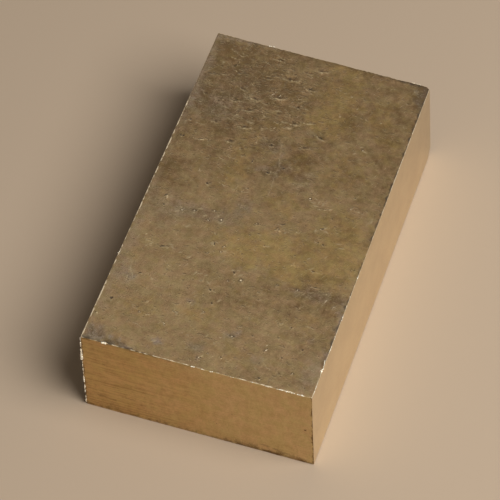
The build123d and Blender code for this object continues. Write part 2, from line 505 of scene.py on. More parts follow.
def knock_tree():
    """The tree that scatters knocks over a flat rectangle and sets a patch of points on each."""
    sizes = ("Width", "Length", "Height", "Spacing", "Crowding")
    bench, given, identifiers = new_geometry_tree("scatter_knocks", sizes)
    sheet = bench.node("GeometryNodeMeshGrid", {}, {
        "Size X": given["Width"], "Size Y": given["Length"],
        "Vertices X": SHEET_COLUMNS, "Vertices Y": SHEET_ROWS,
    })
    lift = bench.node("ShaderNodeCombineXYZ", {}, {2: given["Height"]})
    sheet = bench.node("GeometryNodeSetPosition", {}, {"Geometry": sheet, "Offset": lift})
    place = bench.node("GeometryNodeInputPosition")
    middle = (CROWD_MIDDLE[0], CROWD_MIDDLE[1] + zero_y, top_z)
    apart = bench.node("ShaderNodeVectorMath", {"operation": "DISTANCE"}, {0: place, 1: middle}, out=1)
    crowd = 0.22 + 0.78 * (1 - apart.step_between(CROWD_CORE, CROWD_END))
    clumps = bench.noise(place, 90.0, 3.0).step_between(0.42, 0.62)
    points = bench.node("GeometryNodeDistributePointsOnFaces", {"distribute_method": "POISSON"}, {
        "Mesh": sheet, "Distance Min": given["Spacing"], "Density Max": given["Crowding"],
        "Density Factor": crowd * (0.25 + 0.75 * clumps), "Seed": given["Seed"],
    })
    for number, (name, (smallest, largest, power)) in enumerate(KNOCK_SPREADS.items()):
        points = keep(bench, points, name, draw(bench, given, smallest, largest, number, power))
    by_hand = bench.node("GeometryNodeMeshToPoints", {}, {"Mesh": given["Geometry"]})
    joined = bench.node("GeometryNodeJoinGeometry")
    for wire in (points, by_hand):
        bench.tree.links.new(wire.socket, joined.socket.node.inputs[0])
    points = keep(bench, joined, "centre", place, "FLOAT_VECTOR")
    patch = bench.node("GeometryNodeMeshGrid", {}, {
        "Size X": PATCH_REACH, "Size Y": PATCH_REACH, "Vertices X": PATCH_SIDE, "Vertices Y": PATCH_SIDE,
    })
    turn = bench.node("ShaderNodeCombineXYZ", {}, {2: kept(bench, "turn")})
    size = bench.node("ShaderNodeCombineXYZ", {}, {0: kept(bench, "long"), 1: kept(bench, "wide"), 2: 1.0})
    patches = bench.node("GeometryNodeInstanceOnPoints", {}, {
        "Points": points, "Instance": patch, "Scale": size,
        "Rotation": bench.node("FunctionNodeEulerToRotation", {}, {0: turn}),
    })
    finish_tree(bench, given, patches)
    return bench.tree, identifiers


sheet_size = high - low - 2 * KNOCK_FREE_RIM
knock_starts = starting_piece("knocks", [(*knock["place"], top_z) for knock in placed_knocks], [], {
    name: [knock[name] for knock in placed_knocks] for name in KNOCK_VALUES
})
tree, identifiers = knock_tree()
knock_mesh = evaluated_mesh(knock_starts, tree, identifiers, {
    "Width": float(sheet_size[0]), "Length": float(sheet_size[1]), "Height": top_z,
    "Spacing": 1.6 * MM, "Crowding": 60000.0, "Seed": 7,
})
patch_places = read_values(knock_mesh, "position", 3)
knocks = {name: read_values(knock_mesh, name)[::PATCH] for name in KNOCK_VALUES}
knocks["centre"] = read_values(knock_mesh, "centre", 3)[::PATCH]
print(len(knocks["deep"]), "knocks,", len(patch_places), "points set on them")

# %% [markdown]
# The visible surface is built from points of its own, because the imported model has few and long
# triangles, which can't bend into a dent. Each side of the plate is close to a rectangle, between
# four corners. Rows beside the edges leave room to wear them, the ends get close rows for the
# saw's ridges, and the front gets more points wherever a pore or a smear lies.

# %% The six sides, and how finely they are filled
# Pores and smears on the front: across and up in mm, half width, half height and how dark they are
FRONT_SPOTS = [
    (46.9, 24.9, 0.50, 0.6, 1.0), (29.5, 5.0, 2.5, 0.9, 0.5), (34.0, 4.2, 1.6, 0.6, 0.6),
    (-41.0, 34.0, 1.2, 0.4, 0.5), (-24.0, 44.0, 1.6, 0.5, 0.4), (8.0, 12.0, 0.5, 0.4, 0.6),
    (-43.3, 9.7, 3.2, 0.8, 0.55), (-38.0, 8.6, 2.6, 0.5, 0.5), (-30.5, 12.6, 3.6, 0.7, 0.45),
    (-25.0, 10.4, 2.6, 0.5, 0.4), (22.0, 31.0, 3.0, 1.0, 0.25), (-3.0, 38.0, 0.5, 0.4, 0.5),
    (44.0, 12.0, 1.2, 0.6, 0.35), (15.0, 22.0, 0.5, 0.4, 0.5), (-12.0, 28.0, 1.6, 0.4, 0.35),
    (38.0, 3.0, 4.0, 1.0, 0.5),
]
# The extra points reach this far out, against a spot's half size, and are so many across and up
SPOT_REACH, SPOT_POINTS = 1.4, 7
# Rows of points beside every edge stand this far inside it
EDGE_ROWS = (0.10 * MM, 0.22 * MM, 0.36 * MM, 0.56 * MM, 0.85 * MM, 1.3 * MM)
EDGE_SPACING = 0.45 * MM
# The corners of each side, anticlockwise as it is seen from outside
SIDES = {
    "top": (("left", "front", "top"), ("right", "front", "top"), ("right", "back", "top"),
            ("left", "back", "top")),
    "bottom": (("left", "front", "bottom"), ("left", "back", "bottom"), ("right", "back", "bottom"),
               ("right", "front", "bottom")),
    "front": (("left", "front", "bottom"), ("right", "front", "bottom"), ("right", "front", "top"),
              ("left", "front", "top")),
    "back": (("right", "back", "bottom"), ("left", "back", "bottom"), ("left", "back", "top"),
             ("right", "back", "top")),
    "right": (("right", "front", "bottom"), ("right", "back", "bottom"), ("right", "back", "top"),
              ("right", "front", "top")),
    "left": (("left", "back", "bottom"), ("left", "front", "bottom"), ("left", "front", "top"),
             ("left", "back", "top")),
}
# How far apart the points stand inside each side, across and up
INNER_SPACING = {
    "top": (1.1 * MM, 1.1 * MM), "bottom": (5 * MM, 5 * MM), "front": (2.2 * MM, 0.30 * MM),
    "back": (2.2 * MM, 0.30 * MM), "right": (4 * MM, 4 * MM), "left": (3 * MM, 3 * MM),
}


def side_size(name):
    """How wide and tall a side is."""
    corners = [CORNERS[c] for c in SIDES[name]]
    return np.array((np.linalg.norm(corners[1] - corners[0]), np.linalg.norm(corners[3] - corners[0])))


for name in SIDES:
    print(name, "is", (side_size(name) / MM).round(1), "mm")

# %% [markdown]
# Points are counted as shares of a side's width and height, from 0 to 1, so the same few lines
# serve all six sides. Two sides that share an edge take the same points along it, so that they
# can be joined tightly later.

# %% Points for one side
def even_steps(length, spacing):
    """Places from 0 to 1 along a length, evenly spaced, at about the spacing given."""
    return np.linspace(0, 1, max(2, round(length / spacing)) + 1)


def spot_points():
    """Close points wherever a pore or a smear lies on the front."""
    a, b, c, d = (CORNERS[corner] for corner in SIDES["front"])
    steps = np.linspace(-SPOT_REACH, SPOT_REACH, SPOT_POINTS)
    points = []
    for x, z, half_width, half_height, _ in FRONT_SPOTS:
        for up in (z + steps * half_height) * MM / d[2]:
            left, right = a[0] + (d[0] - a[0]) * up, b[0] + (c[0] - b[0]) * up
            shares_across = ((x + steps * half_width) * MM - left) / (right - left)
            points += [(float(across), up) for across in shares_across]
    return points


def side_points(name):
    """The points of one side: along its edges, in the rows beside them and inside."""
    wide, tall = side_size(name)
    across, up = even_steps(wide, EDGE_SPACING), even_steps(tall, EDGE_SPACING)
    rows = [(0.0, across, up[1:-1])]
    for number, depth in enumerate(EDGE_ROWS):
        # The underside is hardly seen, so it does with half the rows and half the points in them
        if name == "bottom" and number % 2:
            continue
        skip = 1 if number < 3 and name != "bottom" else 2
        inner_across = across[(across > depth / wide) & (across < 1 - depth / wide)][::skip]
        inner_up = up[(up > depth / tall) & (up < 1 - depth / tall)][::skip]
        rows.append((depth, inner_across, inner_up))
    points = []
    for depth, along_u, along_v in rows:
        points += [(u, v) for u in along_u for v in (depth / tall, 1 - depth / tall)]
        points += [(u, v) for v in along_v for u in (depth / wide, 1 - depth / wide)]
    step_u, step_v = INNER_SPACING[name]
    margin = EDGE_ROWS[-1] + min(step_u, step_v) * 0.5
    columns = np.linspace(margin / wide, 1 - margin / wide, round((wide - 2 * margin) / step_u) + 1)
    lines = np.linspace(margin / tall, 1 - margin / tall, round((tall - 2 * margin) / step_v) + 1)
    points += [(u, v) for u in columns for v in lines]
    if name == "front":
        points += spot_points()
    return np.array(points)


print(len(side_points("front")), "points on the front alone")

# %% [markdown]
# Shares become places in space by stretching a square between a side's four corners. Places on
# the top become shares by the reverse, which the patches of the knocks need.

# %% From shares to places and back
def stretched(name, shares):
    """Where points of a side lie in space, between its four corners."""
    a, b, c, d = (CORNERS[corner] for corner in SIDES[name])
    u, v = shares[:, :1], shares[:, 1:]
    return a * (1 - u) * (1 - v) + b * u * (1 - v) + c * u * v + d * (1 - u) * v


def shares_on_top(places):
    """The reverse, for points given by their place on the top face."""
    a, b, c, d = (CORNERS[corner] for corner in SIDES["top"])
    u = (places[:, 0] - a[0]) / (b[0] - a[0])
    front, back = a[1] + (b[1] - a[1]) * u, d[1] + (c[1] - d[1]) * u
    return np.stack([u, (places[:, 1] - front) / (back - front)], 1)


print("the middle of the top is at", (stretched("top", np.array([[0.5, 0.5]]))[0] / MM).round(2), "mm")

# %% [markdown]
# Delaunay's rule joins each side's points into triangles, and suits points of any density. Where
# patches overlap they bring more points than a dent needs, so of those that share a small cell
# only one is kept. The sides are then merged wherever two points lie in the same place, to a
# ten-thousandth of a millimetre, and the surface has no open seam.

# %% Joining the points into one closed surface
PATCH_SPACING, PATCH_CELL = 0.25 * MM, 0.5 * MM
PATCH_MARGIN = 1.6 * MM
SAME_PLACE = 0.0001 * MM
# Closer than this, in mm, two points of one side are one to Delaunay's rule
DELAUNAY_GAP = 1e-5


def cells_of(points, size):
    """The square cell that each point lies in."""
    return np.floor(points / size).astype(np.int64)


def thinned(points, closest):
    """Drops points that share a small square cell with an earlier one."""
    _, kept_ones = np.unique(cells_of(points, closest), axis=0, return_index=True)
    return points[np.sort(kept_ones)]


def clear_of_edges(places, size):
    """Whether each place on a side lies well inside it."""
    return ((places > PATCH_MARGIN) & (places < size - PATCH_MARGIN)).all(1)


def with_patches(shares, size):
    """The top's points, with the even ones exchanged for the finer ones wherever a knock lies."""
    extra = shares_on_top(patch_places) * size
    extra = thinned(extra[clear_of_edges(extra, size)], PATCH_SPACING)
    taken = set(map(tuple, cells_of(extra, PATCH_CELL)))
    even = shares * size
    crowded = np.array([tuple(cell) in taken for cell in cells_of(even, PATCH_CELL)])
    crowded &= clear_of_edges(even, size)
    return np.concatenate([even[~crowded], extra]) / size


def side_triangles(name):
    """Places and triangles of one side."""
    shares, size = side_points(name), side_size(name)
    if name == "top":
        shares = with_patches(shares, size)
    flat = [Vector(p) for p in shares * size / MM]
    places, _, joined, *_ = geometry.delaunay_2d_cdt(flat, [], [], 0, DELAUNAY_GAP)
    shares = np.array([(p.x, p.y) for p in places]) * MM / size
    return stretched(name, shares), np.array(joined)


side_names = list(SIDES)
side_parts = [side_triangles(name) for name in side_names]
offsets = np.cumsum([0] + [len(places) for places, _ in side_parts])
rough = np.concatenate([places for places, _ in side_parts])
cells = (rough / SAME_PLACE).round().astype(np.int64)
_, first, merged = np.unique(cells, axis=0, return_index=True, return_inverse=True)
start = rough[first]
triangles = np.concatenate([
    merged.ravel()[joined + offset] for (_, joined), offset in zip(side_parts, offsets)
])
side_of_triangle = np.repeat(np.arange(len(side_names)), [len(joined) for _, joined in side_parts])
on_side = {}
for number, name in enumerate(side_names):
    on_side[name] = np.zeros(len(start), bool)
    on_side[name][np.unique(triangles[side_of_triangle == number])] = True
    print(name, on_side[name].sum(), "points", (side_of_triangle == number).sum(), "triangles")
print("joined:", len(start), "points", len(triangles), "triangles")

# %% [markdown]
# The stretched box has sharp edges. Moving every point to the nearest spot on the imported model
# gives it that model's rounded edges, knocked corners and nicks without repeating their sizes.

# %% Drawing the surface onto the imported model
tree_of_cad = BVHTree.FromPolygons([tuple(p) for p in cad_places], cad_triangles.tolist())
surface = np.array([tree_of_cad.find_nearest(Vector(p))[0] for p in start])
print("largest move in mm:", round(np.linalg.norm(surface - start, axis=1).max() / MM, 3))

# %% [markdown]
# Rubbed edges are never even. Each edge is worn back by a little everywhere and by more in
# chips, shows a bright line of bare metal along the rub, and has a dark strip beside it. That
# strip is dirt, and in places also painted shade: a contact shadow along the front's foot and
# shade on the top beside the right edge. The strengths change along an edge: a few values with
# their places in mm say how, and random heights break them up, because a wear line of even
# strength is what gives a rendering away.

# %% How each edge is worn
# Even wear, chips and all widths are in mm. The bare line has a width on the first side named and
# one on the second, and a strength at places along the edge. The dark strip of dirt and painted
# shade has a width and such strengths.
EDGES = {
    ("left", "top"): {
        "wear": 0.02, "chips": 0.10, "bare_widths": (0.2, 0.6),
        "bare_and_glint": [(-88, 1.0), (25, 0.95), (46, 0.7), (56, 0.2), (88, 0.15)],
        "dirt_and_shade": {"top": (0.5, [(50, 0.0), (60, 0.5)])},
    },
    # On the top beside this edge the dark strip is partly painted shade
    ("right", "top"): {
        "wear": 0.05, "chips": 0.16, "bare_widths": (0.5, 0.16),
        "bare_and_glint": [(-88, 0.95), (-74, 0.9), (-66, 0.6), (-20, 0.5), (10, 0.6), (30, 0.85), (80, 0.8),
                 (86, 0.4)],
        "dirt_and_shade": {"top": (1.15, [(-88, 0.1), (-68, 0.4), (-60, 0.9), (-35, 0.9), (-20, 0.7), (5, 0.85),
                                (25, 1.0)])},
    },
    ("front", "top"): {
        "wear": 0.03, "chips": 0.14, "bare_widths": (0.1, 0.5),
        "bare_and_glint": [(-50, 0.6), (-36, 0.6), (-12, 0.6), (15, 0.62), (25, 0.72), (34, 0.9), (44, 0.85),
                 (46, 0.4)],
        "dirt_and_shade": {"top": (1.3, [(-50, 0.9), (-24, 0.8), (-14, 0.3), (50, 0.3)]),
                 "front": (0.8, [(-50, 0.8), (-5, 0.7), (5, 0.3), (50, 0.3)])},
    },
    ("back", "top"): {
        "wear": 0.06, "chips": 0.62, "bare_widths": (0.3, 0.4),
        "bare_and_glint": [(-50, 0.5), (-20, 0.4), (0, 0.2)],
        "dirt_and_shade": {"top": (1.8, [(-50, 0.1), (-30, 0.3), (-15, 0.55), (10, 0.6), (35, 0.8)])},
    },
    ("left", "front"): {
        "wear": 0.04, "chips": 0.34, "bare_widths": (0.1, 0.1),
        "bare_and_glint": [(0, 0.2)],
        "dirt_and_shade": {"front": (0.9, [(0, 1.0)])},
    },
    ("right", "front"): {
        "wear": 0.03, "chips": 0.26, "bare_widths": (0.35, 0.02),
        "bare_and_glint": [(0, 0.7)],
        "dirt_and_shade": {"front": (0.75, [(0, 1.0)])},
    },
    ("left", "back"): {
        "wear": 0.02, "chips": 0.20, "bare_widths": (0.2, 0.2),
        "bare_and_glint": [(0, 0.5)],
        "dirt_and_shade": {"back": (0.5, [(0, 0.5)])},
    },
    ("right", "back"): {
        "wear": 0.02, "chips": 0.12, "bare_widths": (0.2, 0.2),
        "bare_and_glint": [(0, 0.5)],
        "dirt_and_shade": {"back": (0.5, [(0, 0.5)])},
    },
    # Along the front's foot the dark strip is partly a painted contact shadow
    ("front", "bottom"): {
        "wear": 0.05, "chips": 0.16, "bare_widths": (0.02, 0.2),
        "bare_and_glint": [(0, 0.1)],
        "dirt_and_shade": {"front": (3.4, [(-50, 0.66), (5, 0.6), (25, 0.95)])},
    },
    ("back", "bottom"): {
        "wear": 0.04, "chips": 0.20, "bare_widths": (0.2, 0.2),
        "bare_and_glint": [(0, 0.3)],
        "dirt_and_shade": {"back": (1.2, [(0, 0.8)])},
    },
    ("left", "bottom"): {
        "wear": 0.02, "chips": 0.08, "bare_widths": (0.2, 0.2),
        "bare_and_glint": [(0, 0.3)],
        "dirt_and_shade": {"left": (0.8, [(0, 0.6)])},
    },
    ("right", "bottom"): {
        "wear": 0.02, "chips": 0.06, "bare_widths": (0.2, 0.2),
        "bare_and_glint": [(0, 0.2)],
        "dirt_and_shade": {"right": (0.7, [(0, 0.3)])},
    },
}
# Two corners were rounded by blows: how deep and how far each blow reaches in mm
ROUNDED_CORNERS = {("right", "back", "top"): (0.8, 2.6), ("right", "back", "bottom"): (1.3, 6.0)}
print(len(EDGES), "edges,", sum(len(edge["dirt_and_shade"]) for edge in EDGES.values()), "dirty strips beside them")

# %% [markdown]
# Now the points near each edge are moved inwards, by the even wear and by random chips that fade
# out a little way from the edge. Three edges meet in a corner, so there the moves are averaged.
# The bare line and the dark strip of dirt and painted shade only set values on the points,
# which the finishes read later.

# %% Wearing the edges
WEAR_REACH = 0.9 * MM
SMALL_CHIP, LARGE_CHIP = 1.0 * MM, 5 * MM
# How far apart the random heights stand that break up the bare line and the dark strip's width and
# strength
BARE_PITCH, CREEP_PITCH, DIM_PITCH = 1.2 * MM, 1.0 * MM, 1.7 * MM


def ragged(along, pitch, seed, power=1.0):
    """A random height from 0 to 1 along a line, joined straight from one pitch to the next."""
    half_length = 0.1
    knots = np.arange(-half_length, half_length + pitch, pitch)
    return np.interp(along, knots, np.random.default_rng(seed).random(len(knots)) ** power)


def strength_along(along, values):
    """The strength at each place along an edge, between the few that are given."""
    places, strengths = zip(*values)
    return np.interp(along / MM, places, strengths)


def counted(places, axis):
    """Places along an axis, counted from the zero line where the axis runs along the plate."""
    return places[..., axis] - (zero_y if axis == 1 else 0.0)


bare_and_glint, dirt_and_shade = np.zeros(len(start)), np.zeros(len(start))
worn, worn_weight = np.zeros_like(start), np.zeros(len(start))
for number, ((one, other), edge) in enumerate(EDGES.items()):
    begin, end = (place for name, place in CORNERS.items() if one in name and other in name)
    direction = (end - begin) / np.linalg.norm(end - begin)
    from_begin = start - begin
    gap = np.linalg.norm(from_begin - np.outer(from_begin @ direction, direction), axis=1)
    along = counted(start, np.abs(direction).argmax())
    small = ragged(along, SMALL_CHIP, 100 + number, 3.0)
    large = ragged(along, LARGE_CHIP, 200 + number, 2.0)
    falloff = np.clip(1 - gap / WEAR_REACH, 0, 1) ** 2
    inwards = -(PLANES[one][0] + PLANES[other][0]) / math.sqrt(2)
    cut_back = edge["wear"] + edge["chips"] * (0.7 * small + 0.5 * large)
    worn += inwards * (cut_back * MM * falloff)[:, None]
    worn_weight += falloff
    patchy = 0.12 + 0.88 * ragged(along, BARE_PITCH, 300 + number) ** 0.8
    width = np.where(on_side[one], *edge["bare_widths"]) * MM
    bare_and_glint = np.maximum(bare_and_glint, strength_along(along, edge["bare_and_glint"]) * patchy / (1 + (gap / width) ** 6))
    for dimmed, (dim_width, strengths) in edge["dirt_and_shade"].items():
        creeping = dim_width * MM * (0.35 + 1.3 * ragged(along, CREEP_PITCH, 400 + number))
        near = strength_along(along, strengths) * (0.4 + 0.6 * ragged(along, DIM_PITCH, 500 + number))
        dirt_and_shade = np.maximum(dirt_and_shade, near * on_side[dimmed] * np.clip(1.4 - gap / creeping, 0, 1))
surface += worn / np.maximum(worn_weight, 1)[:, None]
for corner, (deepest, blow_reach) in ROUNDED_CORNERS.items():
    nearness = np.clip(1 - np.linalg.norm(start - CORNERS[corner], axis=1) / (blow_reach * MM), 0, 1)
    outwards = (PLANES[corner[0]][0] + PLANES[corner[1]][0]) / math.sqrt(2)
    surface -= outwards * (deepest * MM * nearness**2)[:, None]
print("most worn in mm:", round(np.linalg.norm(worn, axis=1).max() / MM, 3))

# %% [markdown]
# Knocks are pressed in as bowls. The blows came from the back, so each bowl slopes gently down
# to its front and ends there in a steep wall, with the metal it pushed away raised in a rim
# beyond. A knock is painted darker in its middle, or in a ring around a bright bottom: that is
# dirt and painted shade together. The bright bottom is bare metal with a painted glint, and the
# raised rims are painted lighter than the skin, partly as rubbed metal and partly as a painted
# highlight.

# %% The form of a knock
# A rim stands this far out, against the bowl's half size, and is this wide; a welt is this wide
RIM_PLACE, RIM_WIDTH, WELT_WIDTH = 1.12, 0.22, 0.8
# The same for the dark ring of dirt and painted shade around a bright bottom, and for that bottom
RING_PLACE, RING_WIDTH, BOTTOM_WIDTH = 0.9, 0.7, 0.6
# A knock as deep as the first has a full rim, and one as deep as the second is torn throughout
FULL_RIM, FULL_TEAR = 0.15 * MM, 0.2 * MM
# How far a random warp moves the outline of a knock
OUTLINE_WARP = 0.16 * MM


def ripples(places, shortest, longest, count, seed):
    """Gentle swells of several lengths and directions, with a spread of about one."""
    dice = np.random.default_rng(seed)
    total = np.zeros(len(places))
    for _ in range(count):
        length = shortest * (longest / shortest) ** dice.random()
        heading, phase = dice.random(2) * 2 * math.pi
        along = places @ np.array((math.cos(heading), math.sin(heading)))
        total += np.sin(along * 2 * math.pi / length + phase)
    return total / math.sqrt(count / 2)


def raise_to(values, near, others):
    """Lifts some of the values to others that are higher."""
    values[near] = np.maximum(values[near], others)


def press_knocks(places):
    """Depth of each place, its grime and painted shade, its worn metal and glint, rim highlight and tear.
    """
    depth, dimmed, rubbed_and_glint, rim_highlights, torn = (np.zeros(len(places)) for _ in range(5))
    warp = np.stack([ripples(places, 1.5 * MM, 5 * MM, 40, seed) for seed in (90, 91)], 1)
    warped = places + OUTLINE_WARP * warp
    broken = np.clip(0.9 + 0.45 * ripples(places, 1.0 * MM, 2.6 * MM, 40, 92), 0.15, 1.6)
    rows = zip(knocks["centre"], *(knocks[name] for name in KNOCK_VALUES))
    for centre, long, wide, turn, deep, dark, bared_and_glint in rows:
        near = np.abs(places - centre[:2]).max(1) < 0.9 * long + 0.5 * MM
        dx, dy = (warped[near] - centre[:2]).T
        a = (dx * math.cos(turn) + dy * math.sin(turn)) / (long / 2)
        b = (dy * math.cos(turn) - dx * math.sin(turn)) / (wide / 2)
        t = np.hypot(a, b)
        towards_front = np.clip(-b / np.maximum(t, 0.01), 0, 1) ** 1.5
        bowl = np.clip(1 - t**2, 0, 1) ** 1.5 * (1 - 0.55 * b)
        rim = np.exp(-(((t - RIM_PLACE) / RIM_WIDTH) ** 2)) * (0.08 + 0.85 * towards_front) * broken[near]
        depth[near] += deep * (bowl - rim)
        # A welt is only painted lighter, as a highlight
        if deep < 0:
            raise_to(rim_highlights, near, bared_and_glint * np.exp(-((t / WELT_WIDTH) ** 2)))
            continue
        # The darkness is dirt and painted shade, the bright bottom a painted glint, the rim a painted
        # highlight
        ring = RING_PLACE if bared_and_glint > 0.3 else 0.0
        raise_to(dimmed, near, dark * broken[near] ** 0.3 * np.exp(-(((t - ring) / RING_WIDTH) ** 2)))
        raise_to(rubbed_and_glint, near, bared_and_glint * np.exp(-((t / BOTTOM_WIDTH) ** 2)))
        raise_to(rim_highlights, near, rim * min(1.0, deep / FULL_RIM))
        raise_to(torn, near, min(1.0, deep / FULL_TEAR) * np.clip(1.7 - 1.3 * t, 0, 1))
    return depth, dimmed, rubbed_and_glint, rim_highlights, torn


trial = ripples(start[:, :2], 1.5 * MM, 5 * MM, 40, 90)
print("ripples have a spread of", trial.std().round(2), "and reach up to", trial.max().round(1))

# %% [markdown]
# The dents are cut from the top's points, on top of long and short swells that every rolled face
# has. The swells are higher in the uneven area at the back left. Everything fades out close to
# the edges, so that the top still meets its neighbours.

# %% Pressing the knocks into the top
EDGE_FADE = 1.5 * MM
UNEVEN_MIDDLE, UNEVEN_REACH = (-20 * MM, 60 * MM), (34 * MM, 36 * MM)
LONG_SWELL, SHORT_SWELL, ROUGH_SWELL = 0.02 * MM, 0.012 * MM, 0.065 * MM


def distance_in(name):
    """How far each point lies inside a side's outline."""
    neighbours = [plane for plane in PLANES.values() if abs(plane[0] @ PLANES[name][0]) < 0.5]
    return np.min([offset - start @ normal for normal, offset in neighbours], axis=0)


on_top = on_side["top"]
fade = np.clip(distance_in("top")[on_top] / EDGE_FADE, 0, 1)
flat_places = start[on_top][:, :2] - (0, zero_y)
depth, dimmed, rubbed_and_glint, rim_highlights, torn = press_knocks(start[on_top][:, :2])
uneven = np.exp(-(np.linalg.norm((flat_places - UNEVEN_MIDDLE) / UNEVEN_REACH, axis=1)) ** 2)
swell = ripples(flat_places, 6 * MM, 40 * MM, 40, 5) * LONG_SWELL
swell += ripples(flat_places, 2.0 * MM, 8 * MM, 80, 6) * (SHORT_SWELL + ROUGH_SWELL * uneven)
surface[on_top, 2] -= (depth + swell) * fade
rim, rough_area = np.zeros(len(start)), np.zeros(len(start))
rim[on_top], rough_area[on_top] = rim_highlights * fade, np.maximum(uneven, 0.9 * torn * fade)
dirt_and_shade[on_top] = np.maximum(dirt_and_shade[on_top], dimmed * fade)
bare_and_glint[on_top] = np.maximum(bare_and_glint[on_top], rubbed_and_glint * fade)
print("deepest knock in mm:", round(depth.max() / MM, 3))

# %% [markdown]
# A saw leaves shallow ridges across a cut. On the front they show on the left and low down and
# fade out to the right, where the blade ran smoothly. They are real geometry, a few hundredths
# of a millimetre high, because a bright rough mirror like this shows every small tilt.

# %% Ridges on the sawn ends
RIDGE_PITCH, RIDGE_HEIGHT = 1.9 * MM, 0.05 * MM
CLEAR_OF_EDGES = 1.2 * MM


def ridges(places, seed, strength):
    """Height from 0 to 1 of shallow, slightly uneven ridges that run across a sawn end."""
    x, z = places[:, 0], places[:, 2]
    wander = 0.25 * MM * ripples(np.stack([x, 0 * x], 1), 20 * MM, 90 * MM, 5, seed)
    level = z + wander
    wave = 0.5 + 0.5 * np.sin(2 * math.pi * (level / RIDGE_PITCH + 0.7 * ragged(level, 4 * MM, seed + 1)))
    return wave**2 * (0.25 + 0.75 * ragged(level, RIDGE_PITCH, seed + 2)) * strength


def front_strength(places):
    """Strong low on the left, weaker up the left, nearly nothing on the right."""
    x, z = places[:, 0] / MM, places[:, 2] / MM
    across = 0.10 + 0.90 / (1 + np.exp((x + 16) / 6))
    up = 0.45 + 0.55 * np.exp(-((z / 18) ** 2)) + 0.35 * np.exp(-(((z - 33) / 4) ** 2))
    return across * up


def back_strength(places):
    """Moderate on one half of the end, and weak on the other."""
    x, z = places[:, 0] / MM, places[:, 2] / MM
    return 0.10 + 0.35 / (1 + np.exp((z - 28 - 0.3 * x) / 5))


groove = np.zeros(len(start))
for name, seed, strength in (("front", 40, front_strength), ("back", 50, back_strength)):
    chosen = on_side[name]
    height = ridges(start[chosen], seed, strength(start[chosen]))
    clear = np.clip(distance_in(name)[chosen] / CLEAR_OF_EDGES, 0, 1)
    surface[chosen] -= PLANES[name][0] * (height * clear * RIDGE_HEIGHT)[:, None]
    groove[chosen] = height * clear
print("highest ridge in mm:", round(groove.max() * RIDGE_HEIGHT / MM, 3))

# %% [markdown]
# Pores and smears on the front only darken it: they are far too small to need a shape. Their
# places are known from the cell that put extra points there.

# %% Pores and smears on the front
dimmed_before = (dirt_and_shade > 0.3).sum()
for x, z, half_width, half_height, strength in FRONT_SPOTS:
    t = np.hypot((start[:, 0] / MM - x) / half_width, (start[:, 2] / MM - z) / half_height)
    dirt_and_shade = np.maximum(dirt_and_shade, strength * on_side["front"] * np.clip(1.5 - t, 0, 1))
print((dirt_and_shade > 0.3).sum() - dimmed_before, "points darkened by", len(FRONT_SPOTS), "pores and smears")

# %% [markdown]
# Dull metal is never one tone. The skin is painted lighter towards the front and darker at the
# back, partly as its own tone and partly as painted light that falls off away from the lamp at the
# front, and patches lie over that: darker and lighter ones, yellower ones and greyer ones. Each
# patch is placed on the top with its own size and ends softly. The values are kept at the mesh's
# points, and the shader breaks them up with finer noise.

# %% Stains of the top
# From dark, 0, to light, 1, at places along the plate in mm; partly painted light, brighter towards the
# lamp
TONE_AND_LIGHT_ALONG = [
    (-88, 0.73), (-60, 0.75), (-30, 0.73), (-10, 0.65), (10, 0.53), (30, 0.45), (60, 0.41), (88, 0.41),
]
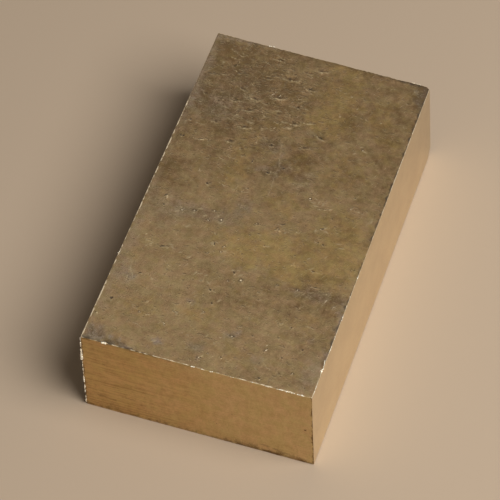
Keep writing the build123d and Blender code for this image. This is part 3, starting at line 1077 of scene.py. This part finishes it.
# Across and along in mm, half width, half length, turn in degrees, then how much is added
TONES = [
    # Front left quarter, from the back to the front
    (-8, -4, 4, 4, 0, -0.14), (-42, -8, 9, 8, 0, -0.15), (-22, -11, 16, 4, 0, -0.08),
    (-38, -17, 6, 3, 0, -0.10), (-15, -20, 4, 4, 0, 0.1), (-10, -30, 4, 5, 0, 0.08),
    (-12, -37, 6, 4, 0, -0.10), (-38, -44, 4, 4, 0, 0.06), (-30, -45, 10, 14, 0, 0.04),
    (-44, -50, 3, 6, 20, 0.24), (-7, -60, 2, 2, 0, 0.1), (-17, -63, 4, 2, -20, 0.12),
    (-23, -76, 4, 4, 0, -0.1), (-25, -76.5, 6, 0.8, 15, -0.25), (-21, -81, 2.4, 1.6, 0, 0.3),
    (-7, -83.5, 6, 0.8, 12, -0.14), (-8, -84, 4, 3, 0, 0.12), (-46, -84.6, 4.5, 3.2, 0, -0.42),
    (-36.5, -87, 5, 1.3, 0, -0.45), (-30, -87.4, 3.5, 1.1, 0, -0.45),
    # Front right quarter, from the back to the front
    (12, -8, 8, 2.5, 15, -0.14), (31, -12, 4, 3, 0, 0.2), (25, -15, 6, 3, 10, -0.16),
    (31, -20, 4, 3, 0, 0.1), (46, -20, 3, 4, 0, 0.16), (38, -22, 5, 3, 0, -0.08),
    (5, -23, 14, 6, 0, 0.06), (31, -28, 6, 4, 0, -0.06), (44, -30, 4, 5, 0, -0.08),
    (33, -30.5, 8, 2.5, 12, -0.20), (33, -32, 7, 3, 8, -0.14), (41, -37, 4, 2, 0, 0.14),
    (36, -37.5, 12, 3.5, 0, -0.46), (38, -40, 4, 5, 0, -0.08), (44, -44, 6, 8, 0, -0.16),
    (14, -46, 25, 8, 0, -0.26), (46, -46, 3, 9, 0, -0.25), (15, -52, 4, 4, 0, -0.08),
    (49, -52, 1.6, 6, 0, -0.4), (2, -54, 5, 5, 0, -0.06), (8, -56, 16, 6, 0, -0.10),
    (38, -60, 5, 3.5, 0, -0.2), (39, -60, 8, 5, 0, -0.10), (46, -64, 3, 5, 0, -0.1),
    (38, -67, 4, 3, 0, -0.12), (49, -67, 1.5, 3, 0, -0.35), (9, -68.5, 2.5, 1.5, 0, -0.16),
    (31, -72, 5, 4, 0, -0.12), (33, -72, 3, 2, 0, -0.1), (36, -75, 12, 7, 0, -0.07),
    (15, -80, 4, 5, 0, 0.08), (40, -84, 5, 2, 0, -0.1), (25, -85, 3, 2, 0, -0.12),
    # Back left quarter, from the back to the front
    (-35, 86.6, 15, 1.3, -1, 0.30), (-45, 82, 3, 2, 0, -0.15), (-46, 77, 3, 4, 0, 0.14),
    (-15, 76, 4, 3, 0, 0.08), (-52, 75, 3, 4, 0, 0.1), (-35, 72, 6, 12, 0, -0.10),
    (-12, 69, 6, 4, 0, 0.1), (-49, 68, 1.5, 22, 0, 0.25), (-28, 66, 24, 26, 0, -0.22),
    (-16, 63, 5, 2, 0, 0.12), (-38, 60, 4, 3, 0, -0.12), (-35, 56, 3.5, 4, 0, -0.16),
    (-38, 52, 9, 5, 0, -0.12), (-20, 47, 8, 4, 0, -0.06), (-6, 47, 4, 4, 0, -0.12),
    (-41, 44, 5, 4, 0, -0.18), (-36, 44, 6, 4, 0, -0.06), (-21, 43, 3, 3, 0, -0.16),
    (-31, 36, 4, 4, 0, -0.12), (-8, 36, 4, 3, 0, -0.1), (-37, 34, 3, 2, 0, 0.12),
    (-7, 33, 3, 2.2, 0, -0.5), (-10, 31, 5, 4, 0, -0.12), (-46, 28, 3, 3, 0, -0.06),
    (-38, 27, 8, 8, 0, -0.10), (-15, 27, 3, 3, 0, 0.06), (-46, 24, 3, 5, 0, -0.18),
    (-9, 21, 4, 4, 0, -0.12), (-30, 19, 5, 3, 0, -0.10), (-4, 18.5, 3, 2.2, 0, -0.5),
    (-44, 8, 7, 9, 0, -0.20), (-23, 8, 5, 5, 0, 0.07),
    # Back right quarter, from the back to the front
    (14, 88, 34, 2.5, -1, -0.16), (43, 87, 6, 2, 0, -0.5), (31, 86, 4, 2.5, 0, -0.2),
    (44, 85, 3, 4, 0, 0.3), (47, 80, 3.5, 8, 12, -0.70), (45, 78, 3, 5, 0, -0.2), (36, 76, 4, 3, 0, -0.1),
    (26, 72, 6, 6, 0, -0.14), (41, 65, 4, 5, 0, -0.18), (15, 64, 7, 10, 0, 0.10),
    (24, 51, 5, 5, 0, -0.15), (8, 47, 4, 6, 0, 0.08), (0, 44, 3, 3, 0, -0.14), (8, 44, 3, 3, 0, 0.12),
    (46, 44, 3, 4, 0, 0.1), (11, 43, 5, 3, 0, -0.10), (3, 37, 6, 3, 0, -0.12), (27, 37, 6, 6, 0, 0.08),
    (36, 36, 6, 4, 0, -0.10), (31, 30, 2, 5, 0, 0.10), (8, 28, 4.5, 11, 8, -0.30),
    (36, 28, 4, 4, 0, -0.1), (0, 26, 4, 5, 0, -0.10), (2, 22, 3, 2, 0, -0.12), (0, 20, 4, 3.5, 0, -0.26),
    (48, 20, 2, 30, 0, -0.08), (12, 19, 5, 4, 0, -0.12), (15, 16, 4, 5, 0, -0.12),
    (13, 15, 3, 2.5, 0, -0.26), (0, 13, 3, 3, 0, -0.08), (0, 12, 4, 3, 0, 0.07), (31, 12, 4, 4, 0, 0.14),
    (31, 6, 5, 6, 0, 0.1), (46, 4, 3, 4, 0, 0.12), (8, 1, 4, 6, 0, 0.1),
]
YELLOWS = [
    # Front left quarter, from the back to the front
    (-8, -62, 8, 5, 0, 0.5), (-32, -66, 9, 5, 10, 0.4),
    # Front right quarter, from the back to the front
    (34, -1, 9, 10, 0, 0.6), (42, -15, 9, 16, 0, 0.7), (0, -22, 14, 8, 0, 0.8), (24, -22, 18, 12, 0, 0.9),
    (33, -30.5, 8, 2.5, 12, 0.4), (14, -31, 18, 5, -6, 0.7), (36, -54, 3, 6, 0, 0.5),
    (12, -77, 6, 4, 0, 0.5),
    # Back left quarter, from the back to the front
    (-41, 75, 6, 6, 0, 0.4), (-9, 43, 5, 3, 0, 0.6), (-18, 25, 4, 14, 0, 0.6), (-18, 10, 6, 8, 0, 0.5),
    # Back right quarter, from the back to the front
    (10, 85, 9, 3, 0, 0.5), (14, 66, 9, 20, 0, 0.9), (34, 62, 5, 10, 0, 0.7), (12, 50, 9, 8, 0, 0.7),
    (42, 48, 6, 9, 0, 0.5), (8, 28, 4.5, 11, 8, 0.4), (27, 28, 8, 12, 0, 0.5), (8, 3, 9, 6, 0, 0.5),
]
GREYS = [
    # Front left quarter, from the back to the front
    (-8, -5, 3, 5, 0, 0.5), (-22, -12, 13, 4, 0, 0.4), (-38, -14, 8, 8, 0, 0.3),
    (-48, -30, 2, 50, 0, 0.3), (-44, -51, 3, 5, 20, 0.45), (-41, -53, 2, 2, 0, 0.4),
    (-12, -58, 3, 2, 0, 0.5), (-3, -79, 3, 3, 0, 0.5), (-21, -81, 2.4, 1.6, 0, 1.0),
    (-46, -84.6, 4.5, 3.2, 0, 1.0), (-36.5, -87, 5, 1.3, 0, 1.0), (-30, -87.4, 3.5, 1.1, 0, 0.9),
    # Front right quarter, from the back to the front
    (10, -33, 3, 4, 0, 0.4), (36, -38.5, 11, 3, 0, 0.5), (48, -42, 2, 6, 0, 0.5),
    (49, -52, 1.8, 6, 0, 0.8), (37, -60, 3, 2, 0, 0.4), (49, -67, 1.8, 3, 0, 0.8),
    (9, -68.5, 3, 1.6, 30, 0.6), (23, -77, 3, 2, 0, 0.4), (46, -77, 4, 8, 0, 0.4),
    # Back left quarter, from the back to the front
    (-36, 86.6, 14, 1.4, -1, 0.6), (-49, 60, 3, 28, 0, 0.6), (-30, 55, 12, 16, 0, 0.25),
    (-40, 46, 9, 7, 0, 0.4), (-7, 33, 4, 3, 0, 0.5), (-4, 18.5, 4, 3, 0, 0.5),
    # Back right quarter, from the back to the front
    (44, 87, 6, 2, 0, 0.9), (48.5, 80.5, 3.0, 8, 12, 1.0), (10, 43, 4, 3, 0, 0.4),
    (0, 24, 1.5, 9, 0, 0.4), (2, 22, 3, 2, 0, 0.4), (12, 18, 5, 5, 0, 0.3),
]
print(len(TONES), "darker and lighter patches,", len(YELLOWS), "yellow ones,", len(GREYS), "grey ones")

# %% [markdown]
# A patch that was cut out with a sharp compass would look painted on. So the places are first
# moved by slow random ripples, which makes every outline wander, and each patch has a level
# middle and a soft edge. What all the patches give at a point is simply added up.

# %% Laying the stains on the points
OUTLINE_WANDER = 1.0 * MM
# A patch has faded by this distance, against its half size, and fades over this span
FADED_BY, FADE_SPAN = 1.6, 1.2


def placed_patches(places, patches, seed):
    """What patches add up to at each place; each has a level middle and a soft, wandering edge."""
    warp = np.stack([ripples(places, 3 * MM, 18 * MM, 30, seed + i) for i in (0, 1)], 1)
    places = places + warp * OUTLINE_WANDER
    total = np.zeros(len(places))
    for x, y, half_width, half_length, turn, amount in patches:
        dx, dy = (places / MM - (x, y)).T
        c, s = math.cos(math.radians(turn)), math.sin(math.radians(turn))
        t = np.hypot((dx * c + dy * s) / half_width, (dy * c - dx * s) / half_length)
        share = np.clip((FADED_BY - t) / FADE_SPAN, 0, 1)
        total += amount * share**2 * (3 - 2 * share)
    return total


stain_and_light_values = {name: np.zeros(len(start)) for name in ("tone", "yellow", "grey")}
stain_and_light_values["tone"][:] = 0.6
tone = strength_along(flat_places[:, 1], TONE_AND_LIGHT_ALONG) + placed_patches(flat_places, TONES, 60)
stain_and_light_values["tone"][on_top] = tone
stain_and_light_values["yellow"][on_top] = placed_patches(flat_places, YELLOWS, 70).clip(0, 1)
stain_and_light_values["grey"][on_top] = placed_patches(flat_places, GREYS, 80).clip(0, 1)
print("tone of the top from", tone.min().round(2), "to", tone.max().round(2))

# %% [markdown]
# Where a saw comes out of the metal it leaves a torn lip, and rubbing polishes that lip into
# flecks of bare metal, whose white shine is painted on as a glint. Each fleck starts as a short
# line along an edge, given by where it begins and ends. At two places a lip was folded over the
# right edge, and lies on the top as a small curl.

# %% Where the flecks lie
def on_edge(one, other, place, out=0.0):
    """A point on an edge, by its place in mm along the edge, moved out of the plate a little."""
    begin, end = (corner for name, corner in CORNERS.items() if one in name and other in name)
    axis = np.abs(end - begin).argmax()
    point = begin + (end - begin) * (place * MM - counted(begin, axis)) / (end[axis] - begin[axis])
    nearest = np.array(tree_of_cad.find_nearest(Vector(point))[0])
    outwards = (PLANES[one][0] + PLANES[other][0]) / math.sqrt(2)
    return nearest + outwards * out * MM


# The edge's two sides, then where each fleck starts and ends along it in mm and how thick it is
FLECKS = {
    ("left", "front"): [
        (49.2, 47.6, 0.60), (45.8, 43.4, 1.00), (40.8, 38.6, 1.30), (37.6, 33.8, 1.60),
        (31.6, 31.0, 0.60), (29.6, 28.8, 0.80), (26.4, 25.6, 0.70), (23.6, 23.2, 0.50),
        (20.8, 17.4, 1.00), (14.0, 12.0, 0.80), (10.3, 9.5, 0.70), (6.1, 5.3, 0.60), (3.4, 2.0, 0.80),
    ],
    ("front", "top"): [
        (-40.7, -39.5, 1.15), (-1.9, -1.1, 0.62), (2.4, 3.2, 0.46), (6.2, 7.0, 0.56), (15.0, 15.9, 0.50),
        (23.5, 24.3, 0.42), (30.0, 31.6, 0.40), (35.0, 36.6, 0.46), (38.6, 39.6, 0.62),
        (41.0, 42.0, 0.66), (43.4, 44.1, 0.60), (45.2, 45.9, 0.70),
    ],
    ("right", "top"): [
        (-24.6, -23.4, 0.62), (-85.0, -82.0, 0.34), (-64.0, -61.0, 0.36), (-47.0, -44.5, 0.32),
        (-57.0, -56.0, 0.40),
    ],
    ("left", "top"): [
        (-42.8, -41.8, 0.46),
    ],
    ("back", "top"): [
        (-25.8, -25.1, 0.62), (-23.9, -23.4, 0.45), (41.3, 42.1, 0.34), (43.6, 45.0, 0.38),
    ],
}
# Where a curl starts and ends along the right edge, how far inside it the end lies, how thick it is
CURLS = [(-72.2, -68.8, 0.5, 0.52), (-72.9, -75.1, 1.1, 0.58)]
# How far a fleck and a curl stand out of the edge, in mm
PROUD, CURL_PROUD = 0.06, 0.10

fleck_ends, fleck_thickness = [], []
for (one, other), flecks in FLECKS.items():
    for begin, end, thickness in flecks:
        fleck_ends += [tuple(on_edge(one, other, place, PROUD)) for place in (begin, end)]
        fleck_thickness += [thickness * MM] * 2
for begin, end, inside, thickness in CURLS:
    tip = on_edge("right", "top", end) + np.array((-inside, 0, CURL_PROUD)) * MM
    fleck_ends += [tuple(on_edge("right", "top", begin, CURL_PROUD)), tuple(tip)]
    fleck_thickness += [thickness * MM, 0.6 * thickness * MM]
print(len(fleck_ends) // 2, "flecks on", len(FLECKS), "edges")

# %% [markdown]
# Geometry Nodes string small flattened beads along each line, each with its own size and a
# little offset, so that the row reads as torn metal rather than as beads. The beads have only a
# few faces, because there are hundreds of them and none is wider than a millimetre or so.

# %% Flecks of torn metal along the edges
BEAD_SEGMENTS, BEAD_RINGS = 6, 5


def fleck_tree():
    """The tree that strings small flattened beads along short lines."""
    bench, given, identifiers = new_geometry_tree("torn_flecks", ("Spacing", "Unevenness"))
    lines = bench.node("GeometryNodeMeshToCurve", {}, {"Mesh": given["Geometry"]})
    strung = bench.node("GeometryNodeCurveToPoints", {"mode": "LENGTH"}, {
        "Curve": lines, "Length": given["Spacing"],
    })
    along = bench.outputs_of(strung)["Rotation"]
    stray = bench.node("FunctionNodeRandomValue", {"data_type": "FLOAT_VECTOR"}, {
        0: (-1.0, -1.0, -1.0), 1: (1.0, 1.0, 1.0), "Seed": given["Seed"],
    })
    offset = bench.node("ShaderNodeVectorMath", {"operation": "SCALE"}, {
        0: stray, "Scale": given["Unevenness"],
    })
    points = bench.node("GeometryNodeSetPosition", {}, {"Geometry": strung, "Offset": offset})
    bead = bench.node("GeometryNodeMeshUVSphere", {}, {
        "Segments": BEAD_SEGMENTS, "Rings": BEAD_RINGS, "Radius": 0.5,
    })
    thick = kept(bench, "thick") * draw(bench, given, 0.55, 1.15, 3)
    size = bench.node("ShaderNodeCombineXYZ", {}, {
        0: thick, 1: thick * 0.75, 2: given["Spacing"] * draw(bench, given, 1.1, 2.2, 4),
    })
    beads = bench.node("GeometryNodeInstanceOnPoints", {}, {
        "Points": points, "Instance": bead, "Rotation": along, "Scale": size,
    })
    finish_tree(bench, given, beads)
    return bench.tree, identifiers


fleck_lines = [(i, i + 1) for i in range(0, len(fleck_ends), 2)]
fleck_starts = starting_piece("flecks", fleck_ends, fleck_lines, {"thick": fleck_thickness})
tree, identifiers = fleck_tree()
fleck_mesh = evaluated_mesh(fleck_starts, tree, identifiers, {
    "Spacing": 0.55 * MM, "Unevenness": 0.09 * MM, "Seed": 3,
})
fleck_places = read_values(fleck_mesh, "position", 3)
fleck_faces = [tuple(p.vertices) for p in fleck_mesh.polygons]
print(len(fleck_faces), "faces on the beads of", len(fleck_lines), "flecks")

# %% [markdown]
# Now the plate becomes one mesh. Each triangle remembers which finish it wears, and each point
# how bare and glinting, how dark with dirt and painted shade, how grooved and how stained it is;
# the tone also holds painted light. The flecks are part of the same mesh.

# %% The plate as one mesh
FINISH_OF_SIDE = {"top": 0, "bottom": 0, "front": 1, "back": 1, "left": 2, "right": 2}
FLECK_FINISH = 3
plate_mesh = bpy.data.meshes.new("copper_plate")
faces = triangles.tolist() + [tuple(i + len(surface) for i in face) for face in fleck_faces]
plate_mesh.from_pydata(np.concatenate([surface, fleck_places]).tolist(), [], faces)
finishes = [FINISH_OF_SIDE[side_names[side]] for side in side_of_triangle]
finishes += [FLECK_FINISH] * len(fleck_faces)
plate_mesh.polygons.foreach_set("use_smooth", [True] * len(faces))
plate_mesh.polygons.foreach_set("material_index", finishes)
point_values = {
    "bare_and_glint": bare_and_glint, "dirt_and_shade": dirt_and_shade, "rim": rim, "rough_area": rough_area, "groove": groove, **stain_and_light_values,
}
for name, values in point_values.items():
    padded = np.concatenate([values, np.zeros(len(fleck_places))]).astype(np.float32)
    plate_mesh.attributes.new(name, "FLOAT", "POINT").data.foreach_set("value", padded)
plate_mesh.validate()
plate_mesh.update()
plate = bpy.data.objects.new("copper_plate", plate_mesh)
bpy.context.scene.collection.objects.link(plate)
print("the plate has", len(plate_mesh.polygons), "faces")

# %% [markdown]
# Three finishes and the flecks' bare metal share a few helpers. Noise works in millimetres of
# the piece's own coordinates, so a noise of scale 0.5 has lumps two millimetres wide. Where the
# dark of dirt and painted shade, or the bright of bare metal and painted glints, begins, noise
# is added to the value that the mesh keeps before it is made into a mask, because a value
# between points that stand a millimetre apart has a smooth outline.

# %% Helpers for the finishes
# Bare metal; in the knocks it also paints a glint
BARE_METAL_AND_GLINT = srgb(232, 214, 184)


def new_finish(name):
    """A material, its bench, its Principled shader and the piece's own coordinates in mm."""
    material = bpy.data.materials.new(name)
    material.use_nodes = True
    bench = Bench(material.node_tree)
    place = bench.node("ShaderNodeTexCoord", out=3)
    place = bench.node("ShaderNodeVectorMath", {"operation": "SCALE"}, {0: place, "Scale": 1 / MM})
    return material, bench, material.node_tree.nodes["Principled BSDF"], place


def join(bench, shader, **inputs):
    """Links or sets the inputs of a shader by name, with _ for a space."""
    for name, value in inputs.items():
        socket = shader.inputs[name.replace("_", " ")]
        if isinstance(value, Wire):
            bench.tree.links.new(value.socket, socket)
        else:
            socket.default_value = value


def add_finish(material):
    """Gives the plate one more finish, and says by which number its faces name it."""
    plate_mesh.materials.append(material)
    number = len(plate_mesh.materials) - 1
    print("finish", number, "is", material.name, "with", len(material.node_tree.nodes), "nodes")


def value_of(bench, name):
    """A number that the mesh keeps at each point."""
    return bench.node("ShaderNodeAttribute", {"attribute_name": name}, {}, out=2)


def broken_mask(bench, name, noise, amount, begin, end):
    """From 0 to 1 as such a number rises, with an outline that noise breaks up."""
    return (value_of(bench, name) + (noise - 0.5) * amount).step_between(begin, end)


def streaky_noise(bench, place, stretch, scale, detail, roughness):
    """Noise on coordinates that are stretched, so that it runs in streaks."""
    drawn_out = bench.node("ShaderNodeVectorMath", {"operation": "MULTIPLY"}, {0: place, 1: stretch})
    return bench.noise(drawn_out, scale, detail, roughness)


def tinted_between(bench, colour, noise, limits, first, second):
    """Multiplies a colour by one tint where noise is low and by another where it is high."""
    return bench.tinted(colour, 1.0, bench.mix(noise.step_between(*limits), first, second))


def relief_of(bench, height, strength, distance):
    """A bump that follows a height, and is a distance in mm deep."""
    return bench.node("ShaderNodeBump", {}, {
        "Strength": strength, "Distance": distance * MM, "Height": height,
    })


def axis_of(bench, place, axis):
    """One of the three coordinates."""
    return bench.outputs_of(bench.node("ShaderNodeSeparateXYZ", {}, {0: place}))[axis]


# %% [markdown]
# The mill skin is dull, so it is only partly a mirror: an oxide film with metal behind it. Its
# colours all lie close together, between a dark and a light brown, and what moves a spot along
# that line is the placed tone and noise of four sizes, which is busier where the skin is dark.
# Tints then turn it yellower, greener, redder or greyer. A picture of real skin could be wrapped
# on instead, but it would bring its own light with it and end at its own border.

# %% The colour of the mill skin
SKIN_DARK, SKIN_LIGHT = srgb(105, 80, 45), srgb(158, 132, 93)
YELLOW_TINT, GREY_TINT = (1.02, 1.0, 0.76, 1.0), (0.90, 1.01, 1.50, 1.0)
GREENER_TINT, REDDER_TINT = (0.975, 1.014, 0.970, 1.0), (1.025, 0.986, 1.014, 1.0)
# Lumps per mm, detail and roughness of each noise
SKIN_NOISES = {
    "patches": (0.13, 4.0, 0.6), "blotches": (0.42, 4.0, 0.6),
    "grain": (1.4, 3.0, 0.65), "speckle": (3.2, 2.0, 0.6),
}


def skin_colour(bench, place, noises, grey):
    """The skin's own colour, before any mark lies on it."""
    patches, blotches, grain, speckle = (noise - 0.5 for noise in noises.values())
    streaks = streaky_noise(bench, place, (0.35, 1.0, 1.0), 0.7, 3.0, 0.6)
    hue = streaky_noise(bench, place, (1.0, 1.0, 3.0), 0.22, 3.0, 0.62)
    redness = streaky_noise(bench, place, (0.7, 1.0, 5.0), 0.24, 3.0, 0.60)
    placed_tone = value_of(bench, "tone")
    busy = 1.6 - 0.8 * placed_tone
    tone = patches * 1.2 + blotches * 0.95 + grain * (0.6 + grey) + speckle * 0.35
    tone = placed_tone + busy * tone - streaks.step_between(0.5, 0.75) * 0.16
    yellow = value_of(bench, "yellow") * (0.35 + 1.3 * noises["blotches"]) + (hue - 0.5) * 2.5 * busy
    colour = bench.mix(tone, SKIN_DARK, SKIN_LIGHT)
    colour = bench.tinted(colour, yellow, YELLOW_TINT)
    colour = tinted_between(bench, colour, redness, (0.38, 0.62), GREENER_TINT, REDDER_TINT)
    return bench.tinted(colour, grey, GREY_TINT)


# %% [markdown]
# The marks lie over that colour in the order in which they came: short dark dashes with a painted
# highlight on their side to the front, towards the lamp, slanting scratches, the raised rims of
# the knocks with their painted highlight, the dirt with painted shade in it, and last the metal
# that is rubbed bare, with painted glints in the knocks. The same masks also roughen, polish and
# dent the skin.

# %% The mill skin on top
MARK_COLOUR, LIP_HIGHLIGHT, SCRATCH_COLOUR = srgb(82, 62, 37), srgb(170, 149, 112), srgb(196, 178, 146)
RIM_HIGHLIGHT, SKIN_DIRT_AND_SHADE = srgb(176, 156, 120), srgb(64, 50, 34)
# The lip is a painted highlight: the dashes copied this far in mm to the front, towards the lamp
LIP_HIGHLIGHT_SHIFT = 0.5
SCRATCH_TURN, SCRATCH_STRETCH = math.radians(62.0), 9.0


def slanted(bench, place, turn, stretch):
    """Coordinates turned in the level plane and stretched, so that noise on them runs in scratches."""
    c, s = math.cos(turn), math.sin(turn)
    along, across = (
        bench.node("ShaderNodeVectorMath", {"operation": "DOT_PRODUCT"}, {0: place, 1: axis}, out=1)
        for axis in ((c, s, 0), (-s, c, 0))
    )
    return bench.node("ShaderNodeCombineXYZ", {}, {0: along * (1 / stretch), 1: across})


def dash_marks(bench, place, rough_area, shift):
    """Short dashes across the top, more of them where it is rough, moved to the front by some mm."""
    moved = bench.node("ShaderNodeVectorMath", {"operation": "ADD"}, {0: place, 1: (0, shift, 0)})
    dashes = streaky_noise(bench, moved, (0.45, 1.0, 1.0), 1.05, 3.0, 0.58)
    return (dashes + 0.055 * rough_area).step_between(0.625, 0.68)


def mill_skin():
    """Dull, oxidised metal as it left the rolls, mottled olive and brown."""
    material, bench, shader, place = new_finish("mill_skin")
    noises = {name: bench.noise(place, *values) for name, values in SKIN_NOISES.items()}
    blotches, grain, speckle = (noises[name] for name in ("blotches", "grain", "speckle"))
    scratches = bench.noise(slanted(bench, place, SCRATCH_TURN, SCRATCH_STRETCH), 2.2, 2.0, 0.5)
    rough_area = value_of(bench, "rough_area")
    marks, lip_highlights = (dash_marks(bench, place, rough_area, shift) for shift in (0.0, LIP_HIGHLIGHT_SHIFT))
    dirt_and_shade = broken_mask(bench, "dirt_and_shade", grain, 0.5, 0.25, 0.85)
    bright = broken_mask(bench, "bare_and_glint", grain, 0.4, 0.25, 0.65)

    colour = skin_colour(bench, place, noises, value_of(bench, "grey") * (0.3 + 1.4 * blotches))
    # Painted highlight on the front side of each dash
    colour = bench.mix(lip_highlights * 0.35, colour, LIP_HIGHLIGHT)
    colour = bench.mix(marks * 0.48, colour, MARK_COLOUR)
    colour = bench.mix(scratches.step_between(0.66, 0.74) * 0.35, colour, SCRATCH_COLOUR)
    # The rims: partly rubbed metal, partly a painted highlight
    colour = bench.mix(value_of(bench, "rim"), colour, RIM_HIGHLIGHT)
    # Dirt, and painted shade beside the right edge and in the knocks
    colour = bench.mix(dirt_and_shade * 0.88, colour, SKIN_DIRT_AND_SHADE)
    # Bare metal, with painted glints at the bottoms of the knocks
    colour = bench.mix(bright, colour, BARE_METAL_AND_GLINT)

    rough = 0.50 + (blotches - 0.5) * 0.25 - 0.16 * bright
    bumps = (grain + speckle * 0.5) * (1.0 + 1.4 * rough_area) + blotches * 1.4 + scratches * 0.4
    bumps = bumps - marks * (0.5 + 1.0 * rough_area)
    relief = relief_of(bench, bumps, 0.62, 0.26)
    metallic = 0.45 + 0.5 * bright
    join(bench, shader, Base_Color=colour, Metallic=metallic, Roughness=rough, Normal=relief)
    return material


add_finish(mill_skin())

# %% [markdown]
# A sawn end is clean metal, so it is a full mirror, but a brushed one. Streaks run across it
# with the saw. It is redder on the left, where the ridges are deepest and hold a little dirt.

# %% The sawn ends
SAWN_LEFT, SAWN_RIGHT, SAWN_DARK = srgb(207, 174, 119), srgb(213, 187, 139), srgb(170, 138, 88)
GROOVE_COLOUR, SAWN_DIRT_AND_SHADE = srgb(152, 118, 66), srgb(108, 80, 44)
SAWN_GREENER, SAWN_REDDER = (0.968, 1.02, 0.945, 1.0), (1.03, 0.985, 1.025, 1.0)


def sawn_end():
    """Fresh brown-gold metal, with the fine lines that the saw left."""
    material, bench, shader, place = new_finish("sawn_end")
    broad = bench.noise(place, 0.06, 3.0, 0.6)
    redness = bench.noise(place, 0.16, 5.0, 0.7)
    grain = bench.noise(place, 1.3, 3.0, 0.65)
    streaks = streaky_noise(bench, place, (0.08, 1.0, 1.0), 0.9, 4.0, 0.65)
    smudges = streaky_noise(bench, place, (1.0, 1.0, 0.6), 0.30, 5.0, 0.65)
    breaks = streaky_noise(bench, place, (0.12, 1.0, 0.9), 0.9, 3.0, 0.6).step_between(0.38, 0.62)
    rightness = (axis_of(bench, place, "X") + (broad - 0.5) * 60).step_between(-50, 25)
    darker = (streaks - 0.5) * (2.0 - 1.5 * rightness) + (grain - 0.5) * 1.1 + (smudges - 0.5) * 1.2
    grooves = value_of(bench, "groove") * (0.1 + 1.1 * breaks) * (0.4 + grain)
    dirt_and_shade = broken_mask(bench, "dirt_and_shade", grain, 0.7, 0.15, 0.95)
    bright = broken_mask(bench, "bare_and_glint", grain, 0.3, 0.25, 0.65)

    colour = bench.mix(rightness, SAWN_LEFT, SAWN_RIGHT)
    colour = tinted_between(bench, colour, redness, (0.35, 0.65), SAWN_GREENER, SAWN_REDDER)
    colour = bench.mix(0.22 + darker, colour, SAWN_DARK)
    colour = bench.mix(grooves * 0.8, colour, GROOVE_COLOUR)
    # Dirt, and along the front's foot a painted contact shadow
    colour = bench.mix(dirt_and_shade * 0.9, colour, SAWN_DIRT_AND_SHADE)
    colour = bench.mix(bright, colour, BARE_METAL_AND_GLINT)

    relief = relief_of(bench, streaks * (1.0 - 0.6 * rightness) + grain * 0.6, 0.4, 0.06)
    rough = 0.36 + 0.14 * smudges
    join(bench, shader, Base_Color=colour, Metallic=1.0, Roughness=rough, Normal=relief)
    return material


add_finish(sawn_end())

# %% [markdown]
# The bar's long sides were finished at the mill. They are paler and smoother than the ends, but
# still not a sharp mirror: the floor shows in them only as an even warm glow.

# %% The smooth sides
SIDE_PALE, SIDE_DEEP, SIDE_FINE = srgb(231, 214, 181), srgb(225, 207, 175), srgb(196, 172, 132)
SIDE_DIRT, SIDE_BARE = srgb(150, 125, 88), srgb(244, 234, 212)
BACK_TINT = (0.90, 0.89, 0.89, 1.0)


def smooth_side():
    """The bar's own smooth side, pale gold, with only faint clouds in it."""
    material, bench, shader, place = new_finish("smooth_side")
    clouds = bench.noise(place, 0.06, 3.0, 0.55)
    fine = bench.noise(place, 0.8, 3.0, 0.6)
    towards_back = (axis_of(bench, place, "Y") + (clouds - 0.5) * 40).step_between(-45, 95)
    dirt_and_shade = broken_mask(bench, "dirt_and_shade", fine, 0.5, 0.3, 0.8)
    bright = broken_mask(bench, "bare_and_glint", fine, 0.3, 0.25, 0.65)

    colour = bench.mix(clouds.step_between(0.35, 0.65), SIDE_PALE, SIDE_DEEP)
    colour = bench.mix(fine.step_between(0.45, 0.8) * 0.18, colour, SIDE_FINE)
    colour = bench.tinted(colour, towards_back, BACK_TINT)
    colour = bench.mix(dirt_and_shade * 0.6, colour, SIDE_DIRT)
    colour = bench.mix(bright, colour, SIDE_BARE)
    join(bench, shader, Base_Color=colour, Metallic=1.0, Roughness=0.30 + 0.08 * clouds)
    return material


add_finish(smooth_side())

# %% [markdown]
# The flecks are torn metal with nothing on it. Their near-white colour is a painted glint: they
# are only half a metal to the shader, so the pale colour stays bright from whichever side they
# are seen, as glints of the lamp would.

# %% The flecks' bare metal and painted glints
# The brighter colour paints the glints
FLECK_GLINT, FLECK_DULL = srgb(255, 250, 234), srgb(236, 216, 180)


def glinting_bare_fleck():
    """Torn metal with nothing on it, painted near-white as a glint in some places and duller in others."""
    material, bench, shader, place = new_finish("glinting_bare_fleck")
    fine = bench.noise(place, 2.5, 2.0)
    colour = bench.mix(fine.step_between(0.4, 0.65), FLECK_GLINT, FLECK_DULL)
    join(bench, shader, Base_Color=colour, Metallic=0.5, Roughness=0.33)
    return material


add_finish(glinting_bare_fleck())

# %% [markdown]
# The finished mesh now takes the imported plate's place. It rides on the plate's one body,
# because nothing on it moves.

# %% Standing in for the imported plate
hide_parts(NODE)
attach(plate, "root")
print(plate.name, "stands in for", NODE)
